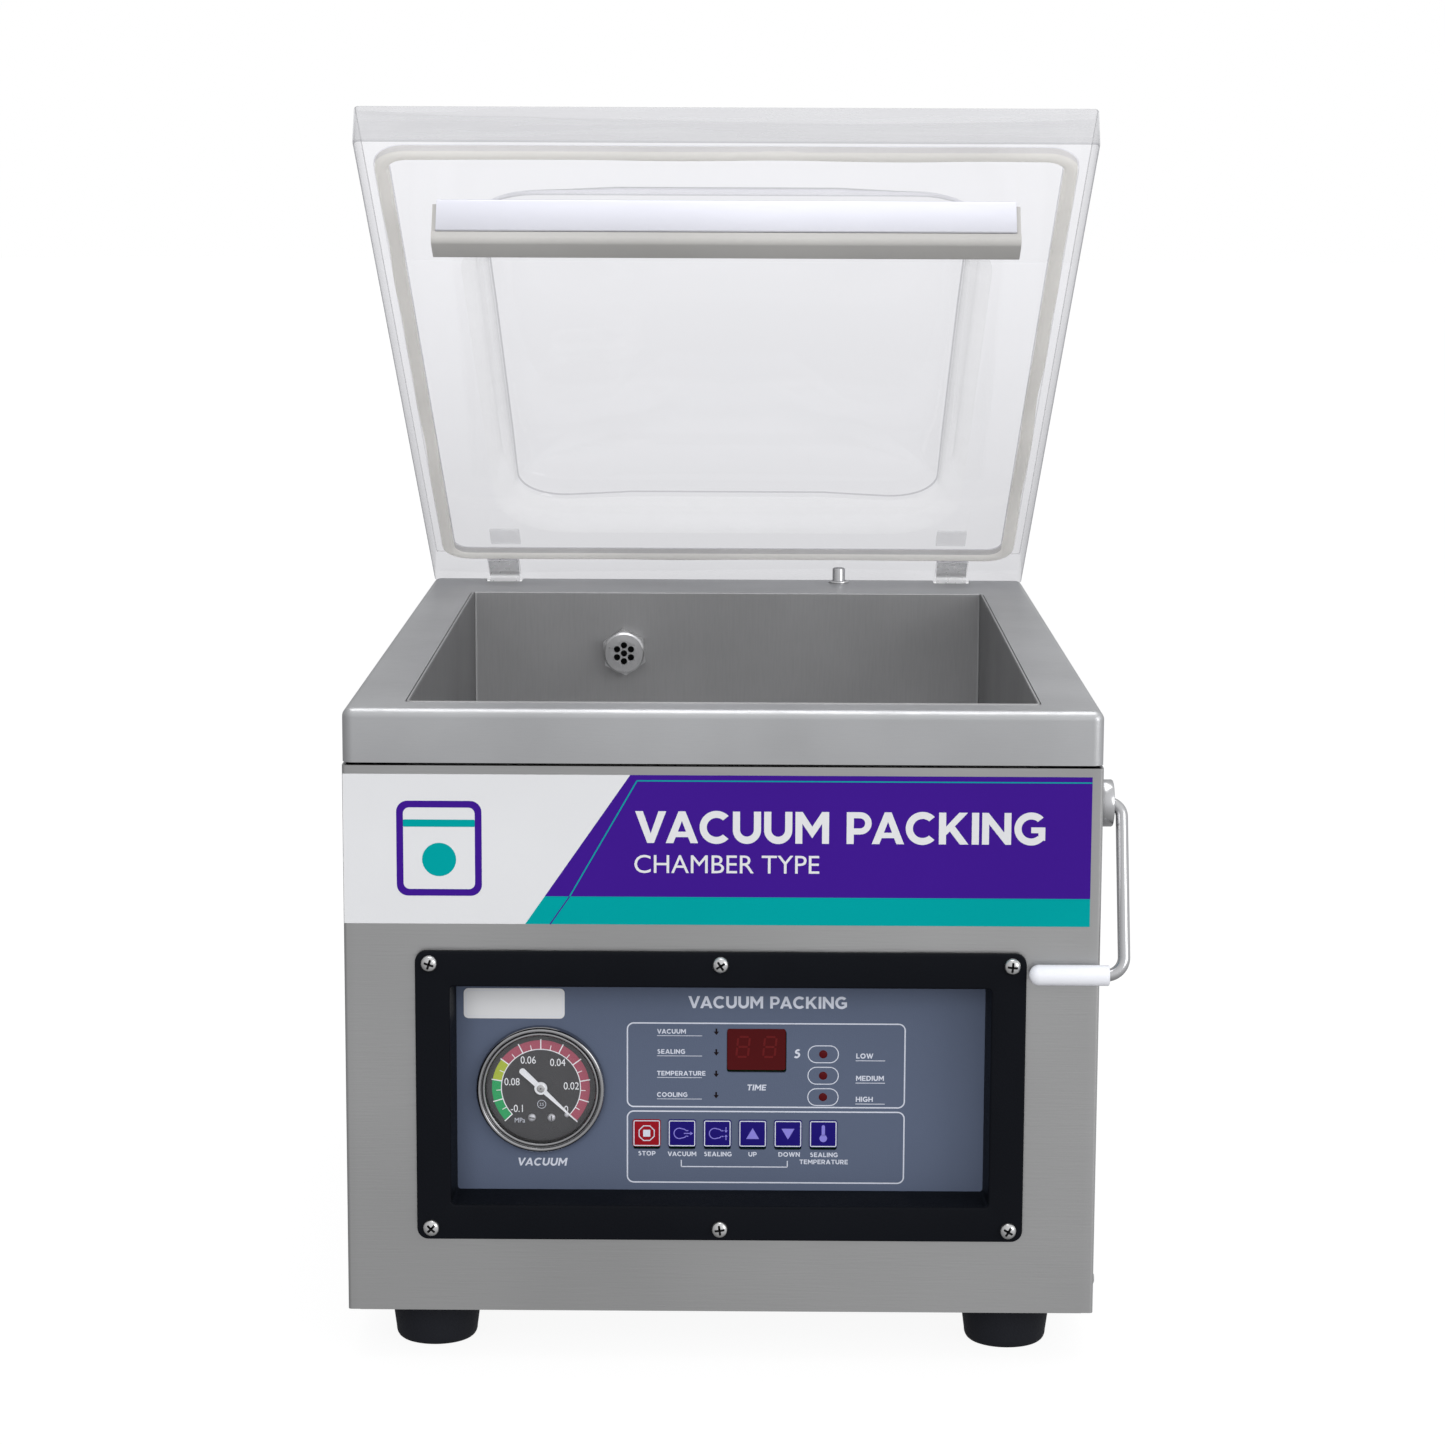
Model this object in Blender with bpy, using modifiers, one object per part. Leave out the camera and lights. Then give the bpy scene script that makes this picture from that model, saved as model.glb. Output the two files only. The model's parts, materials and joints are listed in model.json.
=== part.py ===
"""Tabletop vacuum chamber sealer: steel body, deck with a chamber, clear acrylic lid and control panel.

Metres, +Z up. The machine is drawn with its front panel at y = 0, the middle of its width at x = 0
and the floor at z = 0. ROOT then moves it so that the middle of its bounding box is over the origin.
The lid stands open, the lever hangs down and the seal bar is lowered.
"""

from math import atan2, cos, hypot, pi, radians, sin

import bmesh
import bpy
from mathutils import Vector

GAP = 0.0003  # left between pieces that touch
SHEET = 0.0015  # steel sheet of the body

# Body
BODY_WIDTH = 0.334
BODY_LENGTH = 0.480
FOOT_HEIGHT = 0.023
FOOT_RADIUS = 0.020
FOOT_X = 0.1302
FOOT_INSET = 0.036
DECK_TOP = 0.296
SKIRT_DEPTH = 0.0239
SEAM = 0.0012
FLANGE = 0.0052  # folded front and back edges of the side panels
HALF_WIDTH = BODY_WIDTH / 2
MID_LENGTH = BODY_LENGTH / 2
SHELL_TOP = DECK_TOP - SKIRT_DEPTH - SEAM
DECK_EDGE_RADIUS = 0.0035

# Chamber
CHAMBER_HALF_WIDTH = 0.139
CHAMBER_FRONT = 0.021
CHAMBER_BACK = 0.411
CHAMBER_DEPTH = 0.085
CHAMBER_CORNER = 0.006
CHAMBER_RIM = 0.0004  # the tub's rim stands this proud of the deck
CHAMBER_HALF_LENGTH = (CHAMBER_BACK - CHAMBER_FRONT) / 2
CHAMBER_MID = (CHAMBER_BACK + CHAMBER_FRONT) / 2
CHAMBER_FLOOR = DECK_TOP - CHAMBER_DEPTH

# Lid, in a frame on its hinge axis: y = LID_BACK at its back edge, z = LID_UNDER on its underside
LID_OPEN = radians(31)
LID_THICKNESS = 0.0183
LID_GAP = 0.0025  # between deck and closed lid
HINGE_INSET = 0.0065
HINGE_DROP = 0.008
HINGE_Y = BODY_LENGTH - HINGE_INSET
HINGE_Z = DECK_TOP - HINGE_DROP
LID_BACK = HINGE_INSET
LID_UNDER = HINGE_DROP + LID_GAP
DOME_HALF_WIDTH = 0.115
DOME_HALF_LENGTH = 0.1405
DOME_MID = 0.2285 - HINGE_Y
DOME_DEPTH = 0.043
DOME_HEIGHT = 0.034
DOME_CORNER = 0.046
GASKET_HALF_WIDTH = 0.159
GASKET_HALF_LENGTH = 0.2205
GASKET_MID = 0.2295 - HINGE_Y
GASKET_WIDTH = 0.008
GASKET_CORNER = 0.020
GROOVE_DEPTH = 0.005

# Hinges
SHAFT_RADIUS = 0.003
SHAFT_HALF_LENGTH = 0.1375
BORE_RADIUS = 0.0033
STRAP_X = 0.1265
STRAP_WIDTH = 0.0168
STRAP_THICKNESS = 0.0018
STRAP_REACH = 0.0275
POCKET_DEPTH = 0.002
NOTCH_WIDTH = 0.0206
NOTCH_LENGTH = 0.017
BEARING_X = 0.100
BEARING_WIDTH = 0.016
SPRING_X = 0.078
SPRING_RADIUS = 0.006
SPRING_WIRE = 0.0009
SPRING_SEAT = DECK_TOP - 0.060
ARM_TIP = (-0.0209, -0.0196)  # in the lid's frame, y and z
ARM_TIP_RADIUS = 0.0025

# Sealing
SEAL_Y = 0.059
SEAL_BAR_LENGTH = 0.266
SEAL_BAR_WIDTH = 0.016
SEAL_BAR_HEIGHT = 0.020
SEAL_BAR_TOP = DECK_TOP - 0.0272
LIFT_X = 0.090
LIFT_ROD_RADIUS = 0.005
CHANNEL_LENGTH = 0.266
CHANNEL_WIDTH = 0.018
CHANNEL_HEIGHT = 0.0168
RUBBER_LENGTH = 0.270
RUBBER_DROP = 0.0223

# Control panel: heights are below the deck top
BEZEL_X = -0.0005
BEZEL_Z = DECK_TOP - 0.1735
BEZEL_HALF_WIDTH = 0.135
BEZEL_HALF_HEIGHT = 0.06575
BEZEL_THICKNESS = 0.003
BEZEL_WALL = 0.0018  # round the recess
RECESS_HALF_WIDTH = 0.1196
RECESS_HALF_HEIGHT = 0.0498
RECESS_DEPTH = 0.018
RECESS_DRAFT = 0.0012
PLATE_FRONT = RECESS_DEPTH + GAP
BEZEL_SCREW_X = 0.1286
BEZEL_SCREW_Z = 0.0603
KEY_NAMES = ("stop", "vacuum", "sealing", "up", "down", "temperature")
KEY_SIZE = 0.0116
KEY_PITCH = 0.0159
FIRST_KEY_X = -0.0336
KEY_Z = DECK_TOP - 0.1972
KEY_PROUD = 0.0006
DISPLAY = (0.0157, DECK_TOP - 0.1577)
DISPLAY_SIZE = (0.0262, 0.0189)
GAUGE = (-0.0812, DECK_TOP - 0.1752)
GAUGE_RADIUS = 0.029
GAUGE_BODY_RADIUS = 0.0257
NEEDLE_REST = radians(-43)

# Lever at the right side, in a frame on its pivot with the arm hanging along -Z
LEVER_Y = 0.0215
LEVER_Z = DECK_TOP - 0.0442
LEVER_ROD_X = 0.176
LEVER_ROD_RADIUS = 0.00275
HUB_RADIUS = 0.0105
GRIP_RADIUS = 0.0046
GRIP_END = 0.1353
GRIP_START = 0.1690
GRIP_Y = -0.0052
GRIP_Z = DECK_TOP - 0.1165
LEVER_REACH = hypot(LEVER_Y - GRIP_Y, LEVER_Z - GRIP_Z)
LEVER_LEAN = atan2(LEVER_Y - GRIP_Y, LEVER_Z - GRIP_Z)

# Lid switch pin
PIN_X = 0.0626
PIN_Y = 0.465
PIN_RADIUS = 0.0035
PIN_PROUD = 0.0082
BUSH_RADIUS = 0.0046

# Suction port on the back wall of the chamber
PORT_X = -0.0565
PORT_Z = DECK_TOP - 0.032
PORT_STUB_RADIUS = 0.006
PORT_STUB_END = 0.440

# Power inlet on the back panel
INLET_X = -0.110
INLET_Z = 0.085
INLET_HALF_WIDTH = 0.0235
INLET_HALF_HEIGHT = 0.0300
SOCKET_DROP = 0.012
ROCKER_RISE = 0.017
ROCKER_HALF_HEIGHT = 0.0063
ROCKER_TILT = radians(8)

# How far the lever stands out at the right, the grip at the front and the open lid at the back
RIGHT = LEVER_ROD_X + LEVER_ROD_RADIUS
FRONT = GRIP_Y - GRIP_RADIUS
BACK = HINGE_Y + LID_BACK * cos(LID_OPEN) + (LID_UNDER + LID_THICKNESS) * sin(LID_OPEN)
MIDDLE = Vector(((RIGHT - HALF_WIDTH) / 2, (FRONT + BACK) / 2, 0.0))

# Object rotations that lay an outline's X and Y along these two axes
PLANES = {"XY": (0, 0, 0), "XZ": (pi / 2, 0, 0), "YZ": (pi / 2, 0, pi / 2)}
# Object rotations that turn +Z to this axis
ALONG = {"X": (0, pi / 2, 0), "Y": (-pi / 2, 0, 0), "Z": (0, 0, 0)}


# ---- scene -------------------------------------------------------------------------------------

for old in list(bpy.data.objects):
    bpy.data.objects.remove(old, do_unlink=True)
PARTS = bpy.data.collections.new("vacuum_chamber_sealer")
CUTTERS = bpy.data.collections.new("cutters")
bpy.context.scene.collection.children.link(PARTS)
bpy.context.scene.collection.children.link(CUTTERS)


def empty(name, location, parent=None, turn=0.0):
    """An axis or a frame that pieces hang on, turned about X."""
    obj = bpy.data.objects.new(name, None)
    obj.empty_display_size = 0.02
    PARTS.objects.link(obj)
    obj.parent = parent
    obj.location = location
    obj.rotation_euler = (turn, 0, 0)
    return obj


ROOT = empty("machine", -MIDDLE)
LID_AXIS = empty("lid_axis", (0, HINGE_Y, HINGE_Z), ROOT, -LID_OPEN)
LEVER_AXIS = empty("lever_axis", (0, LEVER_Y, LEVER_Z), ROOT, -LEVER_LEAN)


def finish(name, color, roughness, metallic=0.0, alpha=1.0):
    """A Principled material."""
    material = bpy.data.materials.new(name)
    material.use_nodes = True
    shader = material.node_tree.nodes["Principled BSDF"]
    shader.inputs["Base Color"].default_value = (*color, 1.0)
    shader.inputs["Roughness"].default_value = roughness
    shader.inputs["Metallic"].default_value = metallic
    shader.inputs["Alpha"].default_value = alpha
    return material


STAINLESS = finish("brushed_stainless", (0.56, 0.56, 0.55), 0.38, 1.0)
CHAMBER_STEEL = finish("chamber_steel", (0.42, 0.42, 0.42), 0.42, 1.0)
POLISHED = finish("polished_steel", (0.78, 0.78, 0.78), 0.12, 1.0)
ALUMINIUM = finish("aluminium", (0.80, 0.82, 0.86), 0.30, 1.0)
SPRING_STEEL = finish("spring_steel", (0.35, 0.35, 0.36), 0.35, 1.0)
HEATER = finish("heating_strip", (0.50, 0.46, 0.42), 0.40, 1.0)
BLACK_PLASTIC = finish("black_plastic", (0.012, 0.013, 0.016), 0.45)
RUBBER = finish("black_rubber", (0.015, 0.015, 0.015), 0.70)
PANEL_BLUE = finish("panel_overlay", (0.085, 0.105, 0.150), 0.40)
KEY_RED = finish("key_red", (0.25, 0.005, 0.01), 0.40)
KEY_BLUE = finish("key_blue", (0.02, 0.004, 0.14), 0.40)
DISPLAY_RED = finish("display_red", (0.07, 0.004, 0.006), 0.20)
DIAL_GREY = finish("dial_grey", (0.05, 0.05, 0.055), 0.60)
NEEDLE_WHITE = finish("needle_white", (0.75, 0.75, 0.78), 0.40)
GLASS = finish("gauge_glass", (0.95, 0.96, 0.98), 0.03, alpha=0.2)
ACRYLIC = finish("clear_acrylic", (0.92, 0.94, 0.96), 0.05, alpha=0.35)
GASKET = finish("gasket_silicone", (0.62, 0.60, 0.54), 0.55)
BAR_RUBBER = finish("bar_silicone", (0.42, 0.41, 0.39), 0.55)
WHITE_PLASTIC = finish("white_grip", (0.82, 0.82, 0.88), 0.35)
BOARD = finish("circuit_board", (0.01, 0.10, 0.04), 0.45)
PUMP_PAINT = finish("pump_paint", (0.05, 0.09, 0.16), 0.45)
HOSE = finish("vacuum_hose", (0.35, 0.06, 0.04), 0.55)
WINDING = finish("transformer", (0.30, 0.16, 0.03), 0.50)


# ---- shapes ------------------------------------------------------------------------------------


def add(name, mesh, material, parent=None, location=(0, 0, 0), rotation=(0, 0, 0)):
    """Put a mesh in the scene as a part, or as a cutter if it has no material."""
    obj = bpy.data.objects.new(name, mesh)
    obj.parent = parent or ROOT
    obj.location = location
    obj.rotation_euler = rotation
    if material is None:
        CUTTERS.objects.link(obj)
        obj.hide_render = True
        obj.display_type = "WIRE"
        return obj
    PARTS.objects.link(obj)
    if material.name not in mesh.materials:
        mesh.materials.append(material)
    mesh.shade_smooth()
    mesh.set_sharp_from_angle(angle=radians(35))
    return obj


def mesh_from(bm, name):
    mesh = bpy.data.meshes.new(name)
    bm.to_mesh(mesh)
    bm.free()
    return mesh


def box(name, corner, opposite, material=None, parent=None, bevel=0.0):
    """A box between two opposite corners, with its edges rounded if bevel is given."""
    bm = bmesh.new()
    bmesh.ops.create_cube(bm, size=1.0)
    corner, opposite = Vector(corner), Vector(opposite)
    size = [abs(side) for side in opposite - corner]
    bmesh.ops.scale(bm, vec=size, verts=bm.verts)
    obj = add(name, mesh_from(bm, name), material, parent, (corner + opposite) / 2)
    if bevel:
        rounding = obj.modifiers.new("rounded", "BEVEL")
        rounding.width = bevel
        rounding.segments = 2
    return obj


def cylinder(name, start, length, radius, axis, material=None, parent=None, sides=24):
    """A cylinder, or a hexagon with 6 sides, from the middle of one end along an axis."""
    bm = bmesh.new()
    bmesh.ops.create_cone(
        bm, cap_ends=True, segments=sides, radius1=radius, radius2=radius, depth=length
    )
    bmesh.ops.translate(bm, vec=(0, 0, length / 2), verts=bm.verts)
    return add(name, mesh_from(bm, name), material, parent, start, ALONG[axis])


def turned(name, profile, location, axis, material, parent=None, steps=24):
    """Turn a profile of (radius, height) about an axis. It runs down the outer side."""
    mesh = bpy.data.meshes.new(name)
    edges = [(i, i + 1) for i in range(len(profile) - 1)]
    mesh.from_pydata([(radius, 0, height) for radius, height in profile], edges, [])
    obj = add(name, mesh, material, parent, location, ALONG[axis])
    screw = obj.modifiers.new("turned", "SCREW")
    screw.steps = steps
    screw.render_steps = steps
    screw.use_merge_vertices = True
    screw.merge_threshold = 0.00001
    return obj


def welded_mesh(curve_object, name):
    """The mesh of a curve object, its loose caps joined on."""
    graph = bpy.context.evaluated_depsgraph_get()
    mesh = bpy.data.meshes.new_from_object(curve_object.evaluated_get(graph))
    mesh.name = name
    mesh.materials.clear()
    bm = bmesh.new()
    bm.from_mesh(mesh)
    bmesh.ops.remove_doubles(bm, verts=bm.verts, dist=0.000001)
    bm.to_mesh(mesh)
    bm.free()
    bpy.data.objects.remove(curve_object)
    return mesh


def prism(name, outlines, span, plane, material=None, parent=None, offset=(0, 0)):
    """Extrude a flat outline, with its holes, between two places along the plane's normal."""
    curve = bpy.data.curves.new(name, "CURVE")
    curve.dimensions = "2D"
    curve.fill_mode = "BOTH"
    curve.extrude = abs(span[1] - span[0]) / 2
    for outline in outlines:
        spline = curve.splines.new("POLY")
        spline.points.add(len(outline) - 1)
        for point, (u, v) in zip(spline.points, outline):
            point.co = (u, v, 0, 1)
        spline.use_cyclic_u = True
    guide = bpy.data.objects.new(name, curve)
    CUTTERS.objects.link(guide)
    mesh = welded_mesh(guide, name)
    across, (u, v) = (span[0] + span[1]) / 2, offset
    location = {"XY": (u, v, across), "XZ": (u, across, v), "YZ": (across, u, v)}[plane]
    return add(name, mesh, material, parent, location, PLANES[plane])


def tube(name, points, radius, material, parent=None, location=(0, 0, 0)):
    """A round wire or hose along points."""
    curve = bpy.data.curves.new(name, "CURVE")
    curve.dimensions = "3D"
    curve.bevel_depth = radius
    curve.bevel_resolution = 2
    curve.use_fill_caps = True
    spline = curve.splines.new("POLY")
    spline.points.add(len(points) - 1)
    for point, position in zip(spline.points, points):
        point.co = (*position, 1)
    guide = bpy.data.objects.new(name, curve)
    CUTTERS.objects.link(guide)
    return add(name, welded_mesh(guide, name), material, parent, location)


def loft(name, rings, material=None, parent=None, location=(0, 0, 0), plane="XY", closed=False):
    """Skin rings that have the same number of points, capped at both ends or closed on themselves."""
    bm = bmesh.new()
    loops = [[bm.verts.new(point) for point in ring] for ring in rings]
    pairs = list(zip(loops, loops[1:]))
    if closed:
        pairs.append((loops[-1], loops[0]))
    else:
        bm.faces.new(loops[0])
        bm.faces.new(loops[-1])
    for first, second in pairs:
        for i in range(len(first)):
            j = (i + 1) % len(first)
            bm.faces.new((first[i], first[j], second[j], second[i]))
    bmesh.ops.recalc_face_normals(bm, faces=bm.faces)
    return add(name, mesh_from(bm, name), material, parent, location, PLANES[plane])


def cut(obj, *cutters):
    for cutter in cutters:
        boolean = obj.modifiers.new("cut_" + cutter.name, "BOOLEAN")
        boolean.operation = "DIFFERENCE"
        boolean.object = cutter


def join(obj, *others):
    for other in others:
        boolean = obj.modifiers.new("join_" + other.name, "BOOLEAN")
        boolean.operation = "UNION"
        boolean.object = other


# ---- outlines ----------------------------------------------------------------------------------


def rectangle(half_u, half_v, radius=0.0, middle=(0, 0), steps=3):
    """A rectangle's outline, counterclockwise, with round corners."""
    corners = ((1, 1), (-1, 1), (-1, -1), (1, -1))
    if not radius:
        return [(middle[0] + su * half_u, middle[1] + sv * half_v) for su, sv in corners]
    points = []
    for quarter, (su, sv) in enumerate(corners):
        for i in range(steps + 1):
            angle = pi / 2 * (quarter + i / steps)
            u = middle[0] + su * (half_u - radius) + radius * cos(angle)
            v = middle[1] + sv * (half_v - radius) + radius * sin(angle)
            points.append((u, v))
    return points


def circle(radius, middle=(0, 0), sides=16):
    return [
        (middle[0] + radius * cos(2 * pi * i / sides), middle[1] + radius * sin(2 * pi * i / sides))
        for i in range(sides)
    ]


def ring(half_u, half_v, radius, height, middle=(0, 0), steps=3):
    """A round-cornered rectangle at one height, for loft."""
    return [(u, v, height) for u, v in rectangle(half_u, half_v, radius, middle, steps)]


def arc(middle, radius, start, end, steps):
    """Points round a middle, from one angle in degrees to another."""
    angles = [radians(start + (end - start) * i / steps) for i in range(steps + 1)]
    return [(middle[0] + radius * cos(a), middle[1] + radius * sin(a)) for a in angles]


def ribbon(line, thickness):
    """The outline of a strip that follows a line."""
    sides = [], []
    for i, point in enumerate(line):
        before, after = Vector(line[max(i - 1, 0)]), Vector(line[min(i + 1, len(line) - 1)])
        along = (after - before).normalized()
        across = Vector((-along.y, along.x)) * thickness / 2
        sides[0].append(tuple(Vector(point) + across))
        sides[1].append(tuple(Vector(point) - across))
    return sides[0] + sides[1][::-1]


def turn(outline, angle):
    """An outline turned counterclockwise about its origin."""
    return [(u * cos(angle) - v * sin(angle), u * sin(angle) + v * cos(angle)) for u, v in outline]


def smooth_path(points, per_span=5):
    """A Catmull-Rom curve through points."""
    points = [Vector(point) for point in points]
    ends = [2 * points[0] - points[1], *points, 2 * points[-1] - points[-2]]
    path = []
    for a, b, c, d in zip(ends, ends[1:], ends[2:], ends[3:]):
        slope = c - a
        square = 2 * a - 5 * b + 4 * c - d
        cube = 3 * b - a - 3 * c + d
        for i in range(per_span):
            t = i / per_span
            path.append(b + (slope * t + square * t**2 + cube * t**3) / 2)
    return path + [points[-1]]


# ---- body --------------------------------------------------------------------------------------


def make_body_shell():
    """Base tray, front and back panels, and the side panels with their front and back edges folded in."""
    inside = HALF_WIDTH - SHEET - GAP
    base = [
        (inside, FOOT_HEIGHT),
        (inside, FOOT_HEIGHT + 0.015),
        (inside - SHEET, FOOT_HEIGHT + 0.015),
        (inside - SHEET, FOOT_HEIGHT + SHEET),
    ]
    half_length = MID_LENGTH - SHEET - GAP
    rings = [ring(half, half_length - inside + half, 0.003, height) for half, height in base]
    loft("base_tray", rings, STAINLESS, location=(0, MID_LENGTH, 0))

    half_height = (SHELL_TOP - FOOT_HEIGHT) / 2
    middle = (0, FOOT_HEIGHT + half_height)
    panel = rectangle(HALF_WIDTH - FLANGE - 2 * GAP, half_height, middle=middle)
    clear = BEZEL_WALL + 0.0008
    window = rectangle(RECESS_HALF_WIDTH + clear, RECESS_HALF_HEIGHT + clear, 0.003, (BEZEL_X, BEZEL_Z))
    prism("front_panel", [panel, window, *bezel_screw_holes()], (0, SHEET), "XZ", STAINLESS)

    back = prism("back_panel", [panel], (BODY_LENGTH - SHEET, BODY_LENGTH), "XZ", STAINLESS)
    cut(back, make_vent_cutter(), make_inlet_hole())

    for side, name in ((-1, "left_side_panel"), (1, "right_side_panel")):
        half = HALF_WIDTH
        channel = [
            (half, SHEET / 2),
            (half - SHEET / 2, 0),
            (half - FLANGE, 0),
            (half - FLANGE, SHEET),
            (half - SHEET, SHEET),
            (half - SHEET, BODY_LENGTH - SHEET),
            (half - FLANGE, BODY_LENGTH - SHEET),
            (half - FLANGE, BODY_LENGTH),
            (half - SHEET / 2, BODY_LENGTH),
            (half, BODY_LENGTH - SHEET / 2),
        ]
        outline = [(side * u, v) for u, v in channel]
        panel = prism(name, [outline], (FOOT_HEIGHT, SHELL_TOP), "XY", STAINLESS)
        if side > 0:
            start = (HALF_WIDTH - 0.01, LEVER_Y, LEVER_Z)
            cut(panel, cylinder("lever_hole", start, 0.02, 0.0044, "X", sides=16))


def make_vent_cutter():
    """Two columns of slots in the back panel, over the pump."""
    slots = []
    for column in (0.02, 0.08):
        for row in range(5):
            height = 0.075 + row * 0.014
            slots.append(rectangle(0.024, 0.0025, 0.0024, (column, height)))
    return prism("vent_slots", slots, (BODY_LENGTH - 0.01, BODY_LENGTH + 0.01), "XZ")


def make_inlet_hole():
    half_u, half_v = INLET_HALF_WIDTH - 0.0015, INLET_HALF_HEIGHT - 0.0015
    outline = rectangle(half_u, half_v, 0.002, (INLET_X, INLET_Z))
    return prism("inlet_hole", [outline], (BODY_LENGTH - 0.01, BODY_LENGTH + 0.01), "XZ")


def make_deck():
    """The top cover, with its skirt, the opening for the chamber and the notches for the hinges."""
    rings = [ring(HALF_WIDTH, MID_LENGTH, 0.004, DECK_TOP - SKIRT_DEPTH)]
    for angle in (0, 30, 60, 90):
        inset = DECK_EDGE_RADIUS * (1 - cos(radians(angle)))
        drop = DECK_EDGE_RADIUS * (1 - sin(radians(angle)))
        rings.append(ring(HALF_WIDTH - inset, MID_LENGTH - inset, 0.004 - inset, DECK_TOP - drop))
    shift = (0, CHAMBER_MID - MID_LENGTH)
    mouth = (
        CHAMBER_HALF_WIDTH + SHEET + GAP,
        CHAMBER_HALF_LENGTH + SHEET + GAP,
        CHAMBER_CORNER + SHEET + GAP,
    )
    rings.append(ring(*mouth, DECK_TOP, shift))
    rings.append(ring(*mouth, DECK_TOP - SHEET, shift))
    rings.append(ring(HALF_WIDTH - SHEET, MID_LENGTH - SHEET, 0.0025, DECK_TOP - SHEET))
    rings.append(ring(HALF_WIDTH - SHEET, MID_LENGTH - SHEET, 0.0025, DECK_TOP - SKIRT_DEPTH))
    deck = loft("deck", rings, STAINLESS, location=(0, MID_LENGTH, 0), closed=True)
    for side, name in ((-1, "left"), (1, "right")):
        notch = box(
            f"hinge_notch_{name}",
            (side * STRAP_X - NOTCH_WIDTH / 2, BODY_LENGTH - NOTCH_LENGTH, HINGE_Z - 0.008),
            (side * STRAP_X + NOTCH_WIDTH / 2, BODY_LENGTH + 0.01, DECK_TOP + 0.01),
        )
        cut(deck, notch)
    cut(deck, cylinder("pin_hole", (PIN_X, PIN_Y, DECK_TOP - 0.01), 0.02, BUSH_RADIUS + 0.0004, "Z"))


def make_chamber():
    """The tub, whose rim shows as a fine border on the deck."""
    deep = CHAMBER_CORNER
    rings = []
    for wall in (SHEET, 0.0):
        half_u, half_v = CHAMBER_HALF_WIDTH + wall, CHAMBER_HALF_LENGTH + wall
        corner, floor = CHAMBER_CORNER + wall, CHAMBER_FLOOR - wall
        side = [
            ring(half_u - deep, half_v - deep, corner - deep + 0.001, floor),
            ring(half_u - deep * 0.3, half_v - deep * 0.3, corner - deep * 0.3, floor + deep * 0.3),
            ring(half_u, half_v, corner, floor + deep),
            ring(half_u, half_v, corner, DECK_TOP + CHAMBER_RIM),
        ]
        rings += side if wall else side[::-1]
    tub = loft("chamber_tub", rings, CHAMBER_STEEL, location=(0, CHAMBER_MID, 0))
    start = (PORT_X, CHAMBER_BACK - 0.005, PORT_Z)
    cut(tub, cylinder("port_hole", start, 0.015, PORT_STUB_RADIUS + 0.0004, "Y", sides=16))


def make_feet():
    """Four tapered rubber feet. Their profile runs down from the base."""
    profile = [
        (0, -GAP),
        (FOOT_RADIUS - 0.0005, -GAP),
        (FOOT_RADIUS, -0.001),
        (FOOT_RADIUS - 0.0022, 0.0015 - FOOT_HEIGHT),
        (FOOT_RADIUS - 0.0035, -FOOT_HEIGHT),
        (0, -FOOT_HEIGHT),
    ]
    for y, row in ((FOOT_INSET, "front"), (BODY_LENGTH - FOOT_INSET, "back")):
        for x, side in ((-FOOT_X, "left"), (FOOT_X, "right")):
            turned(f"foot_{row}_{side}", profile, (x, y, FOOT_HEIGHT), "Z", RUBBER)


# ---- lid ---------------------------------------------------------------------------------------


def make_lid():
    """A thick clear plate with a moulded dome, a gasket groove and a pocket for each hinge strap."""
    rings = []

    def dome_ring(inset, height, grow=0.0):
        half_u = DOME_HALF_WIDTH - inset + grow
        half_v = DOME_HALF_LENGTH - inset + grow
        corner = DOME_CORNER + grow - inset * 0.3
        rings.append(ring(half_u, half_v, corner, LID_UNDER + height, (0, DOME_MID), 5))

    hollow = ((0.040, 1.0), (0.024, 0.965), (0.013, 0.86), (0.006, 0.64), (0.002, 0.30), (0.0, 0.06))
    for inset, height in hollow:
        dome_ring(inset, DOME_DEPTH * height)
    dome_ring(0.0, 0.0, 0.003)
    middle = (0, GASKET_MID)
    clear = 0.001
    inner = GASKET_WIDTH + clear
    for reach, height in ((-inner, 0), (-inner, GROOVE_DEPTH), (clear, GROOVE_DEPTH), (clear, 0)):
        half_u, half_v = GASKET_HALF_WIDTH + reach, GASKET_HALF_LENGTH + reach
        rings.append(ring(half_u, half_v, GASKET_CORNER + reach, LID_UNDER + height, middle, 5))
    middle = (0, LID_BACK - MID_LENGTH)
    worn = 0.0006
    for inset, height in ((worn, 0), (0, worn), (0, LID_THICKNESS - worn), (worn, LID_THICKNESS)):
        rings.append(ring(HALF_WIDTH - inset, MID_LENGTH - inset, 0.003, LID_UNDER + height, middle, 5))
    dome_ring(0.0, LID_THICKNESS, 0.016)
    dome_ring(0.0, LID_THICKNESS + 0.003, 0.009)
    for inset, height in ((0.002, 0.45), (0.008, 0.74), (0.018, 0.92), (0.034, 1.0)):
        dome_ring(inset, LID_THICKNESS + DOME_HEIGHT * height, 0.008)
    lid = loft("lid", rings, ACRYLIC, LID_AXIS)
    for side, name in ((-1, "left"), (1, "right")):
        pocket = box(
            f"strap_pocket_{name}",
            (side * STRAP_X - STRAP_WIDTH / 2 - 0.0005, LID_BACK - STRAP_REACH - GAP, LID_UNDER - 0.005),
            (side * STRAP_X + STRAP_WIDTH / 2 + 0.0005, LID_BACK - 0.008, LID_UNDER + POCKET_DEPTH),
            parent=LID_AXIS,
        )
        cut(lid, pocket)


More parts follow.
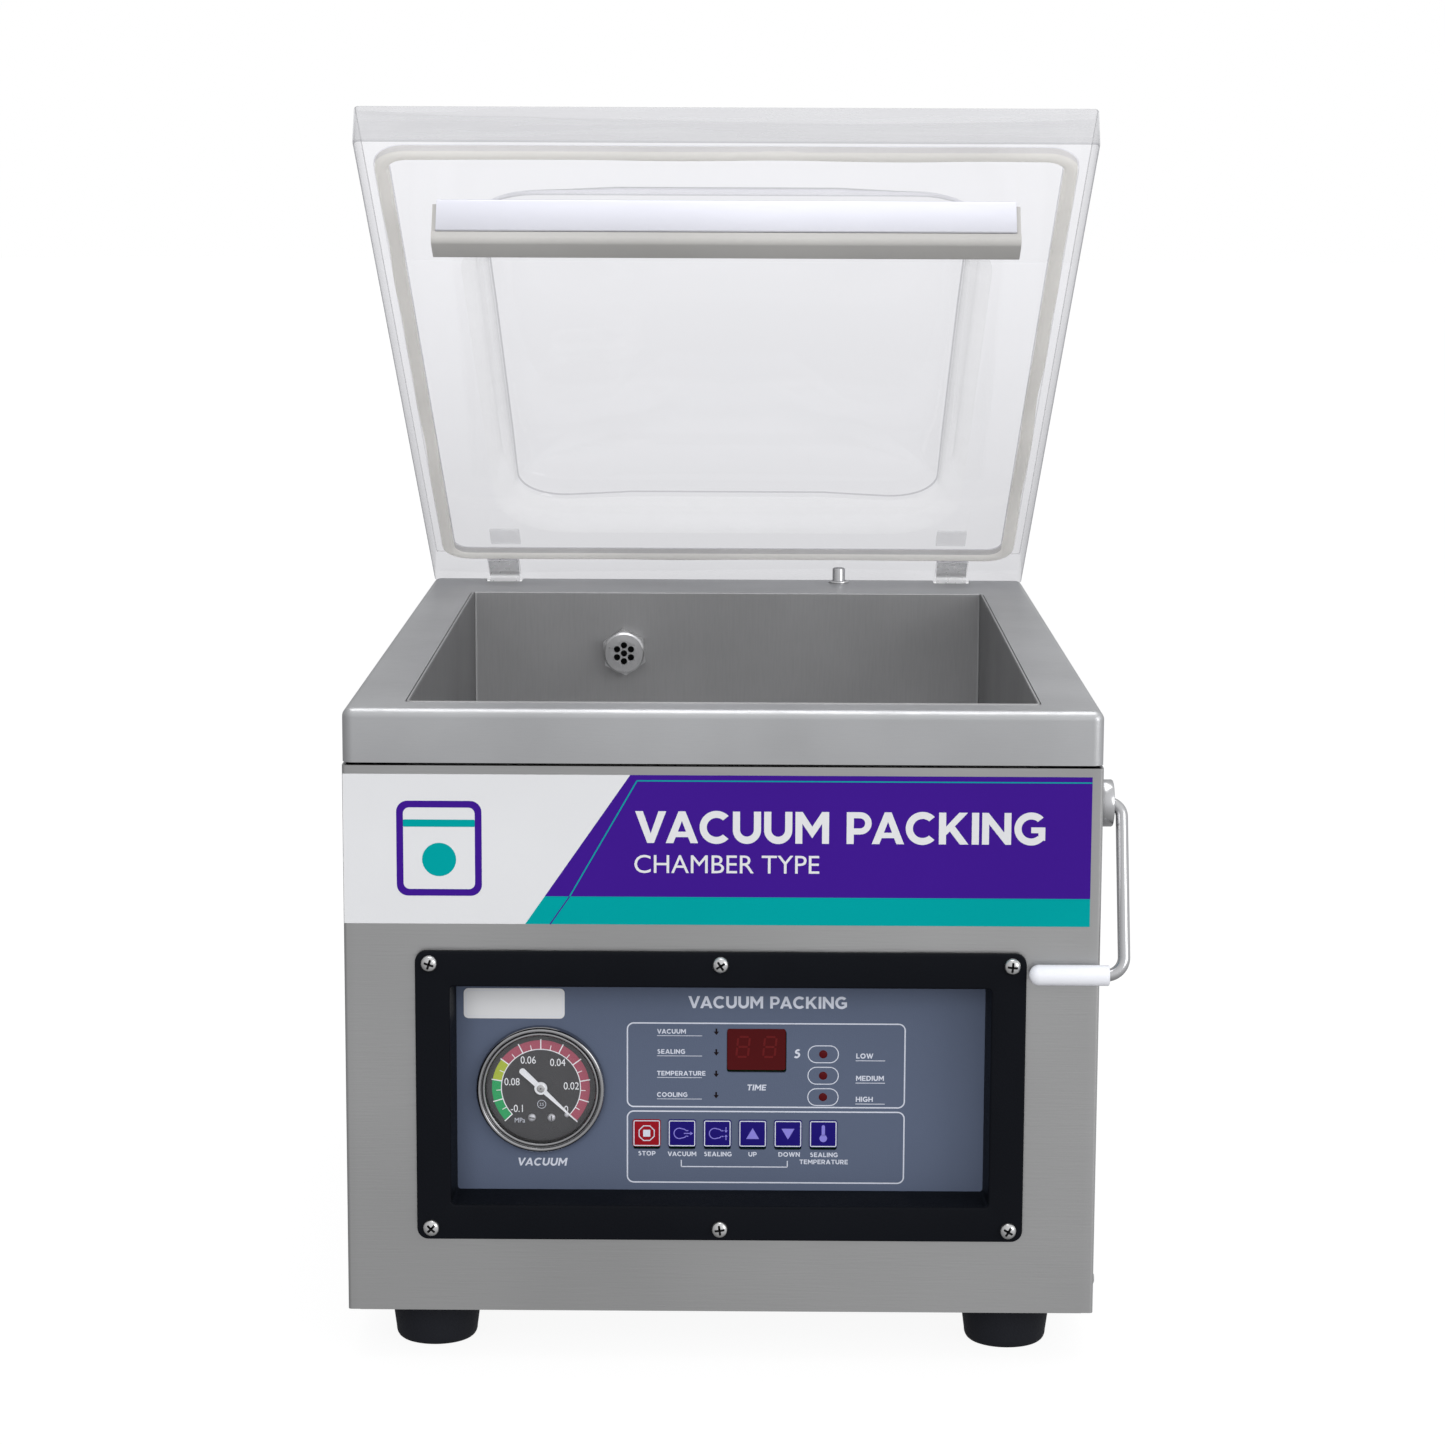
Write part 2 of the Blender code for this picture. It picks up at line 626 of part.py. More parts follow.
def make_gasket():
    """Fills the groove and stands out of it just to the deck when the lid is closed."""
    low, high = GAP - LID_GAP, GROOVE_DEPTH - GAP
    bevel_u, bevel_v = 0.0018, 0.0015
    section = (
        (bevel_u, low),
        (0.0, low + bevel_v),
        (0.0, high),
        (GASKET_WIDTH, high),
        (GASKET_WIDTH, low + bevel_v),
        (GASKET_WIDTH - bevel_u, low),
    )
    rings = []
    for inset, height in section:
        half_u, half_v = GASKET_HALF_WIDTH - inset, GASKET_HALF_LENGTH - inset
        corner = GASKET_CORNER - inset
        rings.append(ring(half_u, half_v, corner, LID_UNDER + height, (0, GASKET_MID), 5))
    loft("lid_gasket", rings, GASKET, LID_AXIS, closed=True)


def make_pressure_bar():
    """An aluminium channel under the lid, with the silicone bar that it grips."""
    middle = SEAL_Y - HINGE_Y
    half, top, bottom = CHANNEL_WIDTH / 2, LID_UNDER - GAP, LID_UNDER - CHANNEL_HEIGHT
    wall = 0.0016
    channel = [
        (half, top),
        (-half, top),
        (-half, bottom),
        (wall - half, bottom),
        (wall - half, top - wall),
        (half - wall, top - wall),
        (half - wall, bottom),
        (half, bottom),
    ]
    span = (-CHANNEL_LENGTH / 2, CHANNEL_LENGTH / 2)
    prism("pressure_bar_channel", [channel], span, "YZ", ALUMINIUM, LID_AXIS, (middle, 0))
    root, head = half - wall - GAP, half - 0.0006
    face, shoulder = LID_UNDER - RUBBER_DROP, bottom - GAP
    corner = 0.0028
    bar = [(root, top - wall - GAP), (-root, top - wall - GAP), (-root, shoulder), (-head, shoulder)]
    bar += arc((corner - head, face + corner), corner, 180, 270, 3)
    bar += arc((head - corner, face + corner), corner, 270, 360, 3)
    bar += [(head, shoulder), (root, shoulder)]
    span = (-RUBBER_LENGTH / 2, RUBBER_LENGTH / 2)
    prism("pressure_bar_rubber", [bar], span, "YZ", BAR_RUBBER, LID_AXIS, (middle, 0))


def make_hinges():
    """Curled straps on one shaft that turns in two brackets, with an arm over each lid spring."""
    level = LID_UNDER + POCKET_DEPTH - GAP - STRAP_THICKNESS / 2
    curl = BORE_RADIUS + STRAP_THICKNESS / 2
    bend = 0.005
    line = [(LID_BACK - STRAP_REACH, level), (-0.015, level)]
    line += arc((-curl - bend, level - bend), bend, 90, 0, 5)
    line += arc((0, 0), curl, 180, 455, 14)
    start = (-SHAFT_HALF_LENGTH, 0, 0)
    shaft = cylinder("hinge_shaft", start, 2 * SHAFT_HALF_LENGTH, SHAFT_RADIUS, "X", POLISHED, LID_AXIS, 16)
    for side, name in ((-1, "left"), (1, "right")):
        span = (side * STRAP_X - STRAP_WIDTH / 2, side * STRAP_X + STRAP_WIDTH / 2)
        prism(f"hinge_strap_{name}", [ribbon(line, STRAP_THICKNESS)], span, "YZ", POLISHED, LID_AXIS)
        place = side * SPRING_X
        arm = ribbon([(0, 0), ARM_TIP], 2 * ARM_TIP_RADIUS - 0.001)
        join(shaft, prism(f"arm_{name}", [arm], (place - 0.002, place + 0.002), "YZ", parent=LID_AXIS))
        start, length = (place - SPRING_RADIUS, *ARM_TIP), 2 * SPRING_RADIUS
        tip = cylinder(f"arm_tip_{name}", start, length, ARM_TIP_RADIUS, "X", parent=LID_AXIS, sides=16)
        join(shaft, tip)
        make_hinge_bracket(side, name)
        make_lid_spring(side, name)


def make_hinge_bracket(side, name):
    """A bearing for the shaft, on a strap down the back that carries the spring's seat."""
    wall = BODY_LENGTH - SHEET - GAP
    half_v = 0.0071
    block = rectangle(0.0061, half_v, middle=(wall - 0.0061, DECK_TOP - SHEET - GAP - half_v))
    bore = circle(BORE_RADIUS, (HINGE_Y, HINGE_Z))
    near, far = BEARING_X - BEARING_WIDTH / 2, BEARING_X + BEARING_WIDTH / 2
    bracket = prism(f"hinge_bracket_{name}", [block, bore], (side * near, side * far), "YZ", STAINLESS)
    inner = (side * (near + 0.002), wall - 0.0025, SPRING_SEAT - 0.001)
    outer = (side * (far - 0.002), wall - 0.0005, HINGE_Z - half_v)
    join(bracket, box(f"bracket_back_{name}", inner, outer))
    inner = (side * (SPRING_X - 0.009), wall - 0.041, SPRING_SEAT - 0.002)
    outer = (side * (far - 0.003), wall - 0.001, SPRING_SEAT)
    join(bracket, box(f"spring_seat_{name}", inner, outer))


def make_lid_spring(side, name):
    """A compression spring that stands on its seat and pushes the arm up."""
    tip_y = ARM_TIP[0] * cos(LID_OPEN) + ARM_TIP[1] * sin(LID_OPEN)
    tip_z = ARM_TIP[1] * cos(LID_OPEN) - ARM_TIP[0] * sin(LID_OPEN)
    closed_tip_y = ARM_TIP[0]
    place = (side * SPRING_X, HINGE_Y + (tip_y + closed_tip_y) / 2, SPRING_SEAT + GAP)
    height = HINGE_Z + tip_z - ARM_TIP_RADIUS - GAP - place[2]
    path = coil(SPRING_RADIUS, SPRING_WIRE, height, 7)
    tube(f"lid_spring_{name}", path, SPRING_WIRE, SPRING_STEEL, location=place)


def coil(radius, wire, height, turns, per_turn=9):
    """The path of a coil spring from z = 0 up, with three quarters of a turn closed at each end."""
    count, flat = turns * per_turn, per_turn * 0.75
    rise = 1.9 * wire  # of a closed turn
    free = height - 2 * wire - rise * 1.5
    points = []
    for i in range(count + 1):
        angle = 2 * pi * i / per_turn
        climb = min(max((i - flat) / (count - 2 * flat), 0.0), 1.0)
        closed = rise * (min(i, flat) + max(i - count + flat, 0)) / per_turn
        points.append((radius * cos(angle), radius * sin(angle), wire + closed + free * climb))
    return points


# ---- sealing -----------------------------------------------------------------------------------


def make_seal_bar():
    """The bar with its heating strip, on two rods that slide in cylinders on the chamber's floor."""
    half = SEAL_BAR_LENGTH / 2
    width = SEAL_BAR_WIDTH / 2
    low, high = SEAL_BAR_TOP - SEAL_BAR_HEIGHT, SEAL_BAR_TOP
    box("seal_bar", (-half, SEAL_Y - width, low), (half, SEAL_Y + width, high), ALUMINIUM, bevel=0.0008)
    strip, base = 0.0022, high + GAP
    corner, opposite = (-half, SEAL_Y - strip, base), (half, SEAL_Y + strip, base + 0.0005)
    box("heating_strip", corner, opposite, HEATER)
    base = CHAMBER_FLOOR + GAP
    top = low - 0.0008
    bore, outside, depth = LIFT_ROD_RADIUS + 0.0004, 0.014, 0.026
    cup = [
        (0, top - depth),
        (bore, top - depth),
        (bore, top),
        (outside - 0.001, top),
        (outside, top - 0.001),
        (outside, base),
        (0, base),
    ]
    for side, name in ((-1, "left"), (1, "right")):
        turned(f"lift_cylinder_{name}", cup, (side * LIFT_X, SEAL_Y, 0), "Z", ALUMINIUM, steps=20)
        start = (side * LIFT_X, SEAL_Y, top - depth + 0.002)
        length = low - GAP - start[2]
        cylinder(f"lift_rod_{name}", start, length, LIFT_ROD_RADIUS, "Z", POLISHED, sides=16)


def make_suction_port():
    """A hexagon fitting with a strainer face of seven holes, and its stub through the chamber wall."""
    back = CHAMBER_BACK - GAP
    face = back - 0.0095
    hexagon, stub = back - 0.007, back - 0.002
    port = cylinder("suction_port", (PORT_X, hexagon, PORT_Z), 0.007, 0.0127, "Y", POLISHED, sides=6)
    front = [(0, 0.004), (0.0112, 0.004), (0.0112, 0.0015), (0.0100, 0), (0, 0)]
    join(port, turned("port_face", front, (PORT_X, face, PORT_Z), "Y", None))
    length = PORT_STUB_END - stub
    join(port, cylinder("port_stub", (PORT_X, stub, PORT_Z), length, PORT_STUB_RADIUS, "Y"))
    cut(port, cylinder("port_plenum", (PORT_X, face + 0.003, PORT_Z), 0.005, 0.0070, "Y"))
    cut(port, cylinder("port_bore", (PORT_X, face + 0.006, PORT_Z), 0.060, 0.0042, "Y", sides=16))
    for hole in range(7):
        reach = 0.0044 if hole else 0.0
        angle = hole * pi / 3 + pi / 2
        start = (PORT_X + reach * cos(angle), face - 0.002, PORT_Z + reach * sin(angle))
        cut(port, cylinder(f"port_hole_{hole}", start, 0.0065, 0.0018, "Y", sides=10))


def make_lid_switch():
    """The pin that the closed lid presses, in a bush through the deck. Heights are from the deck top."""
    place = (PIN_X, PIN_Y, DECK_TOP)
    bore = PIN_RADIUS + 0.0004
    bush = [
        (bore, 0.0012),
        (0.0050, 0.0012),
        (0.0058, 0.0007),
        (0.0058, GAP),
        (BUSH_RADIUS, GAP),
        (BUSH_RADIUS, -0.014),
        (bore, -0.014),
        (bore, 0.0012),
    ]
    turned("lid_switch_bush", bush, place, "Z", STAINLESS, steps=20)
    pin = [
        (0, PIN_PROUD),
        (0.0016, PIN_PROUD - 0.0003),
        (0.0029, PIN_PROUD - 0.0011),
        (PIN_RADIUS, PIN_PROUD - 0.0026),
        (PIN_RADIUS, -0.016),
        (0, -0.016),
    ]
    turned("lid_switch_pin", pin, place, "Z", POLISHED, steps=20)


# ---- control panel -----------------------------------------------------------------------------


def bezel_screw_places():
    columns = [BEZEL_X + side * BEZEL_SCREW_X for side in (-1, 0, 1)]
    return [(u, BEZEL_Z + side * BEZEL_SCREW_Z) for side in (1, -1) for u in columns]


def bezel_screw_holes():
    return [circle(0.0022, place, 12) for place in bezel_screw_places()]


def make_bezel():
    """A frame with a deep recess. Its local Z points out of the front panel."""
    out, back = BEZEL_THICKNESS + GAP, -RECESS_DEPTH
    chamfer = 0.0008
    half_u, half_v = BEZEL_HALF_WIDTH, BEZEL_HALF_HEIGHT
    hole_u, hole_v = RECESS_HALF_WIDTH, RECESS_HALF_HEIGHT
    wall_u, wall_v = hole_u + BEZEL_WALL, hole_v + BEZEL_WALL
    rings = [
        ring(half_u - chamfer, half_v - chamfer, 0.0042, out),
        ring(half_u, half_v, 0.0050, out - chamfer),
        ring(half_u, half_v, 0.0050, GAP),
        ring(wall_u, wall_v, 0.0030, GAP),
        ring(wall_u, wall_v, 0.0030, back),
        ring(hole_u - RECESS_DRAFT, hole_v - RECESS_DRAFT, 0.0015, back),
        ring(hole_u, hole_v, 0.0020, out - chamfer),
        ring(hole_u + chamfer, hole_v + chamfer, 0.0025, out),
    ]
    place = (BEZEL_X, 0, BEZEL_Z)
    bezel = loft("control_bezel", rings, BLACK_PLASTIC, location=place, plane="XZ", closed=True)
    cut(bezel, prism("bezel_screw_holes", bezel_screw_holes(), (-0.01, 0.01), "XZ"))
    screw = [
        (0, 0.011),
        (0.0018, 0.011),
        (0.0018, 0),
        (0.0038, 0),
        (0.0032, -0.0016),
        (0.0018, -0.0025),
        (0, -0.0028),
    ]
    for number, (u, v) in enumerate(bezel_screw_places(), 1):
        turned(f"bezel_screw_{number}", screw, (u, -out - GAP, v), "Y", POLISHED, steps=14)


def make_panel():
    """The overlay plate at the bottom of the recess, with its display and sprung keys."""
    half_u, half_v = RECESS_HALF_WIDTH + BEZEL_WALL, RECESS_HALF_HEIGHT + BEZEL_WALL
    plate = rectangle(half_u, half_v, 0.002, (BEZEL_X, BEZEL_Z))
    window = rectangle(DISPLAY_SIZE[0] / 2 + GAP, DISPLAY_SIZE[1] / 2 + GAP, 0.0012, DISPLAY)
    gauge = circle(GAUGE_BODY_RADIUS + 0.0004, GAUGE, 24)
    places = [(FIRST_KEY_X + i * KEY_PITCH, KEY_Z) for i in range(len(KEY_NAMES))]
    key_holes = [rectangle(KEY_SIZE / 2 + GAP, KEY_SIZE / 2 + GAP, 0.001, place) for place in places]
    span = (PLATE_FRONT, PLATE_FRONT + SHEET)
    prism("control_panel_plate", [plate, window, gauge, *key_holes], span, "XZ", PANEL_BLUE)
    glass = rectangle(DISPLAY_SIZE[0] / 2, DISPLAY_SIZE[1] / 2, 0.0010, DISPLAY)
    prism("display_window", [glass], (PLATE_FRONT - 0.0002, PLATE_FRONT + 0.003), "XZ", DISPLAY_RED)
    half, flange = KEY_SIZE / 2, KEY_SIZE / 2 + 0.001
    seat = -SHEET - GAP
    rings = [
        ring(half - 0.0003, half - 0.0003, 0.0006, KEY_PROUD, steps=2),
        ring(half, half, 0.0009, KEY_PROUD - 0.0003, steps=2),
        ring(half, half, 0.0009, seat, steps=2),
        ring(flange, flange, 0.0009, seat, steps=2),
        ring(flange, flange, 0.0009, seat - 0.001, steps=2),
    ]
    for name, (u, v) in zip(KEY_NAMES, places):
        colour = KEY_RED if name == "stop" else KEY_BLUE
        loft(f"key_{name}", rings, colour, location=(u, PLATE_FRONT, v), plane="XZ")
    low = (BEZEL_X - 0.048, RECESS_DEPTH + 0.0085, BEZEL_Z - 0.047)
    high = (BEZEL_X + 0.116, RECESS_DEPTH + 0.0101, BEZEL_Z + 0.047)
    box("control_board", low, high, BOARD)


def at_gauge(depth):
    """A place on the gauge's axis, behind the face of the panel plate."""
    return (GAUGE[0], PLATE_FRONT + depth, GAUGE[1])


def make_gauge():
    """A vacuum gauge. Heights run towards the back of the machine from the panel plate."""
    rim, body = GAUGE_RADIUS, GAUGE_BODY_RADIUS
    case = [
        (0, 0.022),
        (body, 0.022),
        (body, -GAP),
        (rim, -GAP),
        (rim, -0.0038),
        (rim - 0.0008, -0.0046),
        (rim - 0.0022, -0.0046),
        (rim - 0.0022, -0.0030),
        (body - 0.0010, -0.0030),
        (body - 0.0010, 0.019),
        (0, 0.019),
    ]
    turned("gauge_case", case, at_gauge(0), "Y", POLISHED, steps=36)
    cylinder("gauge_lens", at_gauge(-0.0045), 0.0012, rim - 0.0025, "Y", GLASS, sides=36)
    dial = [circle(body - 0.0014, GAUGE, 36), circle(0.0018, GAUGE, 12)]
    prism("gauge_dial", dial, (PLATE_FRONT + 0.0012, PLATE_FRONT + 0.0020), "XZ", DIAL_GREY)
    spindle = at_gauge(-0.0016)
    needle = cylinder("gauge_needle", spindle, 0.0105, 0.0012, "Y", NEEDLE_WHITE, sides=12)
    tail = arc((-0.0110, 0), 0.0015, 110, 250, 4)
    pointer = turn([(0.0224, 0.0003), *tail, (0.0224, -0.0003)], NEEDLE_REST)
    span = (PLATE_FRONT - 0.0010, PLATE_FRONT - 0.0004)
    join(needle, prism("needle_pointer", [pointer], span, "XZ", offset=GAUGE))
    join(needle, cylinder("needle_hub", at_gauge(-0.0013), 0.0014, 0.0029, "Y", sides=16))


# ---- lever -------------------------------------------------------------------------------------


def make_lever():
    """The hub, its pivot through the side panel and the bent rod, with a plastic grip on its end."""
    hub_start = HALF_WIDTH + GAP
    hub = [(0, 0.006), (HUB_RADIUS - 0.001, 0.006), (HUB_RADIUS, 0.005), (HUB_RADIUS, 0)]
    hub += [(0.0040, 0), (0.0040, -0.008), (0, -0.008)]
    arm = turned("lever_arm", hub, (hub_start, 0, 0), "X", POLISHED, LEVER_AXIS, 24)
    bend, low_bend = 0.006, LEVER_ROD_X - GRIP_START
    path = [(hub_start + 0.001, 0)]
    path += arc((LEVER_ROD_X - bend, -bend), bend, 90, 0, 4)
    path += arc((LEVER_ROD_X - low_bend, low_bend - LEVER_REACH), low_bend, 0, -90, 5)
    path += [(GRIP_END + 0.010, -LEVER_REACH)]
    rod = tube("lever_rod", [(u, 0, v) for u, v in path], LEVER_ROD_RADIUS, None, LEVER_AXIS)
    join(arm, rod)
    length = GRIP_START - GRIP_END
    bore = LEVER_ROD_RADIUS + GAP
    rim = GRIP_RADIUS - 0.0005
    grip = [(0, 0.0075), (bore, 0.0075), (bore, length), (rim, length), (GRIP_RADIUS, length - 0.0005)]
    grip += [(GRIP_RADIUS, 0.0035), (GRIP_RADIUS * 0.86, 0.0016), (GRIP_RADIUS * 0.5, 0.0004), (0, 0)]
    turned("lever_grip", grip, (GRIP_END, 0, -LEVER_REACH), "X", WHITE_PLASTIC, LEVER_AXIS, 20)


# ---- inside the body ---------------------------------------------------------------------------


def make_pump():
    """An oil pump and its motor, as plain blocks of their size."""
    floor = FOOT_HEIGHT + SHEET + GAP
    axis_z = 0.096
    motor = cylinder("pump_motor", (-0.150, 0.250, axis_z), 0.142, 0.055, "X", PUMP_PAINT, sides=28)
    join(motor, box("motor_feet", (-0.130, 0.205, floor), (-0.030, 0.295, axis_z - 0.030)))
    head = box("pump_head", (-0.0075, 0.195, floor), (0.100, 0.305, 0.160), PUMP_PAINT, bevel=0.004)
    join(head, cylinder("pump_inlet", (0.040, 0.300, 0.130), 0.020, 0.006, "Y", sides=16))


def make_hose():
    """From the chamber's port, down behind the tub, to the pump. Its ends are straight."""
    start = Vector((PORT_X, PORT_STUB_END + GAP, PORT_Z))
    end = Vector((0.040, 0.320 + GAP, 0.130))
    route = [
        start + Vector((0, 0.006, 0)),
        (-0.054, 0.462, 0.246),
        (-0.042, 0.463, 0.214),
        (-0.015, 0.448, 0.168),
        (0.022, 0.412, 0.138),
        (0.039, 0.365, 0.130),
        end + Vector((0, 0.010, 0)),
    ]
    tube("vacuum_hose", [start, *smooth_path(route), end], 0.0065, HOSE)


def make_electrics():
    """The transformer of the heating strip and the valve that lets air back in."""
    floor = FOOT_HEIGHT + SHEET + GAP
    core = box("transformer", (0.085, 0.055, floor), (0.145, 0.125, 0.085), WINDING, bevel=0.002)
    join(core, box("transformer_coil", (0.076, 0.068, floor + 0.012), (0.154, 0.112, 0.073)))
    valve = box("solenoid_valve", (-0.128, 0.400, floor), (-0.098, 0.430, 0.050), ALUMINIUM, bevel=0.001)
    join(valve, cylinder("valve_coil", (-0.113, 0.415, 0.045), 0.036, 0.013, "Z"))


def make_inlet():
    """A mains inlet and a rocker switch in one moulding. The solids stop short of its cavities."""
    outside = BODY_LENGTH + GAP
    flange = rectangle(INLET_HALF_WIDTH, INLET_HALF_HEIGHT, 0.003)
    place = (INLET_X, INLET_Z)
    inlet = prism("power_inlet", [flange], (outside, outside + 0.002), "XZ", BLACK_PLASTIC, offset=place)
    half_u, half_v = INLET_HALF_WIDTH - 0.002, INLET_HALF_HEIGHT - 0.002
    body = rectangle(half_u, half_v, 0.002)
    join(inlet, prism("inlet_body", [body], (0.458, outside + 0.001), "XZ", offset=place))
    socket = [
        (-0.0122, -0.0085),
        (0.0122, -0.0085),
        (0.0122, 0.0040),
        (0.0075, 0.0085),
        (-0.0075, 0.0085),
        (-0.0122, 0.0040),
    ]
    drop = INLET_Z - SOCKET_DROP
    cut(inlet, prism("inlet_socket", [socket], (0.464, outside + 0.01), "XZ", offset=(INLET_X, drop)))
    for name, u, v in (("left", -0.007, -0.002), ("earth", 0, 0.002), ("right", 0.007, -0.002)):
        low = (INLET_X + u - 0.001, 0.460, drop + v - 0.0022)
        high = (INLET_X + u + 0.001, 0.4750, drop + v + 0.0022)
        join(inlet, box(f"prong_{name}", low, high))
    rocker_z = INLET_Z + ROCKER_RISE
    well = rectangle(0.0112, ROCKER_HALF_HEIGHT + 0.0005)
    cut(inlet, prism("rocker_well", [well], (0.462, outside + 0.01), "XZ", offset=(INLET_X, rocker_z)))
    pivot = (INLET_X, outside - 0.0035, rocker_z)
    rocker = [(-0.0097, 0.0056), (-0.0080, -0.0035), (0.0080, -0.0035), (0.0097, 0.0056), (0, 0.0040)]
    span = (rocker_z - ROCKER_HALF_HEIGHT, rocker_z + ROCKER_HALF_HEIGHT)
    prism("main_switch_rocker", [turn(rocker, ROCKER_TILT)], span, "XY", BLACK_PLASTIC, offset=pivot[:2])


make_body_shell()
make_deck()
make_chamber()
make_feet()
make_lid()
make_gasket()
make_pressure_bar()
make_hinges()
make_seal_bar()
make_suction_port()
make_lid_switch()
make_bezel()
make_panel()
make_gauge()
make_lever()
make_pump()
make_hose()
make_electrics()
make_inlet()
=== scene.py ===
"""Looks of the tabletop vacuum chamber sealer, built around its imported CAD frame.

Lengths here are in millimetres. A piece is drawn in one of three frames, and its mesh is then put in metres:
MACHINE has x from the middle, y from the front panel and z from the deck's top. LID is the same with the
lid closed and z from the lid's underside. LEVER has its origin on the lever's pivot, with its arm along -z.
"""

import json
from math import atan2, cos, pi, radians, sin

import bmesh
import bpy
from mathutils import Matrix, Vector, noise


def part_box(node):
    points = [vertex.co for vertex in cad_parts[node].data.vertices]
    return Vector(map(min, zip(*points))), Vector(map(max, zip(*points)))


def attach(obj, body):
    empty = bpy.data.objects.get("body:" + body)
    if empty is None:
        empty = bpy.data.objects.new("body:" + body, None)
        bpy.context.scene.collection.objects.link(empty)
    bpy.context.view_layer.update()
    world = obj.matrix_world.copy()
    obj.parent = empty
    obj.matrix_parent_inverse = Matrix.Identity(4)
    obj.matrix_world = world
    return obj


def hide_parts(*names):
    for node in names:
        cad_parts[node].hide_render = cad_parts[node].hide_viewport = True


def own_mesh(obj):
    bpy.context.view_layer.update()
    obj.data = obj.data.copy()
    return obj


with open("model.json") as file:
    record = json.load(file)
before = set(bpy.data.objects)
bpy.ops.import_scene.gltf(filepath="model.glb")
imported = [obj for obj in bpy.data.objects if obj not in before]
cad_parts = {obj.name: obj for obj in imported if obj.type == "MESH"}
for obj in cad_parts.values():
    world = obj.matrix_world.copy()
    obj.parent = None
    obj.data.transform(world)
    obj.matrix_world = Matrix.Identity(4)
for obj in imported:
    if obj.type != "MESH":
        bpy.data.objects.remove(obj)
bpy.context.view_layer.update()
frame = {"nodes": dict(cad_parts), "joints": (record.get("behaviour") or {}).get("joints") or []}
NODES = frame["nodes"]
JOINTS = {joint["name"]: joint for joint in frame["joints"]}

DECK_LOW, DECK_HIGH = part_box("deck")
ORIGIN = Vector(((DECK_LOW.x + DECK_HIGH.x) / 2, DECK_LOW.y, DECK_HIGH.z))
WIDTH = (DECK_HIGH.x - DECK_LOW.x) * 1000
LENGTH = (DECK_HIGH.y - DECK_LOW.y) * 1000
SKIRT = (DECK_HIGH.z - DECK_LOW.z) * 1000
HALF = WIDTH / 2
LID_GAP = 2.5
SCALE = Matrix.Scale(0.001, 4)


def turned_about(pivot, angle):
    return Matrix.Translation(pivot) @ Matrix.Rotation(angle, 4, "X") @ Matrix.Translation(-pivot)


HINGE = Vector(JOINTS["lid_hinge"]["pos_m"])
OPEN_ANGLE = radians(JOINTS["lid_hinge"]["range_deg"][1])
PIVOT = Vector(JOINTS["lever_hinge"]["pos_m"])
GRIP_LOW, GRIP_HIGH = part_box("lever_grip")
GRIP_MIDDLE = (GRIP_LOW + GRIP_HIGH) / 2
LEVER_LEAN = atan2(PIVOT.y - GRIP_MIDDLE.y, PIVOT.z - GRIP_MIDDLE.z)
LEVER_REACH = (Vector(GRIP_MIDDLE.yz) - Vector(PIVOT.yz)).length * 1000
MACHINE = Matrix.Translation(ORIGIN) @ SCALE
LID = turned_about(HINGE, -OPEN_ANGLE) @ Matrix.Translation(ORIGIN + Vector((0, 0, LID_GAP / 1000))) @ SCALE
LEVER = Matrix.Translation((ORIGIN.x, PIVOT.y, PIVOT.z)) @ Matrix.Rotation(-LEVER_LEAN, 4, "X") @ SCALE

# How a flat drawing stands: its own x and y, and its depth towards the viewer of that face
FLAT = Matrix.Identity(4)
FRONT = Matrix.Rotation(pi / 2, 4, "X")
SIDE = Matrix(((0, 0, 1, 0), (1, 0, 0, 0), (0, 1, 0, 0), (0, 0, 0, 1)))
ALONG_X = Matrix.Rotation(pi / 2, 4, "Y")


# Sizes that several parts share, in millimetres
SHEET = 1.5
FOLD = 5.2  # how far the side panels fold round the front
LID_THICK = 18.3
STRAP_X = 126.5
SWITCH = (62.6, 465)
GASKET_HALF, GASKET_MIDDLE = (159.0, 219.5), (0, 228.5)
BEZEL_MIDDLE = (-0.5, -173.5)
INK_DEPTH = 0.05


def shift(x, y, z):
    return Matrix.Translation((x, y, z))


# ---- materials ---------------------------------------------------------------------------------


def add(tree, kind, inputs):
    """A new shader node whose inputs, by name or place, are set to values or fed by other nodes' outputs."""
    node = tree.nodes.new("ShaderNode" + kind)
    for place, value in inputs.items():
        if isinstance(value, bpy.types.NodeSocket):
            tree.links.new(value, node.inputs[place])
        else:
            node.inputs[place].default_value = value
    return node


def noise_value(tree, grain, scale, low, high):
    """A noise, stretched by grain, as a value between low and high."""
    place = add(tree, "TexCoord", {}).outputs["Object"]
    stretch = add(tree, "Mapping", {"Vector": place, "Scale": grain})
    field = add(tree, "TexNoise", {"Vector": stretch.outputs["Vector"], "Scale": scale, "Detail": 3.0})
    ends = {"From Min": 0.3, "From Max": 0.7, "To Min": low, "To Max": high}
    return add(tree, "MapRange", {"Value": field.outputs["Fac"], **ends}).outputs["Result"]


def painted_height_shade(tree, low, high):
    """A value that goes from low at the deck's top to high at the open lid's front edge: painted shade, darker
    towards the deck.
    """
    place = add(tree, "TexCoord", {}).outputs["Object"]
    height = add(tree, "SeparateXYZ", {"Vector": place}).outputs["Z"]
    front_edge = ORIGIN.z + LENGTH * sin(OPEN_ANGLE) / 1000
    ends = {"From Min": ORIGIN.z, "From Max": front_edge, "To Min": low, "To Max": high}
    return add(tree, "MapRange", {"Value": height, **ends}).outputs["Result"]


def toned(tree, color, value):
    """A colour made lighter and darker by a value around 1."""
    tint = add(tree, "VectorMath", {0: color})
    tint.operation = "SCALE"
    tree.links.new(value, tint.inputs["Scale"])
    return tint.outputs["Vector"]


def mixed(tree, share, first, second):
    """The shader that shows the second one by a share."""
    return add(tree, "MixShader", {"Fac": share, 1: first, 2: second}).outputs["Shader"]


def new_material(name):
    material = bpy.data.materials.new(name)
    material.use_nodes = True
    return material, material.node_tree


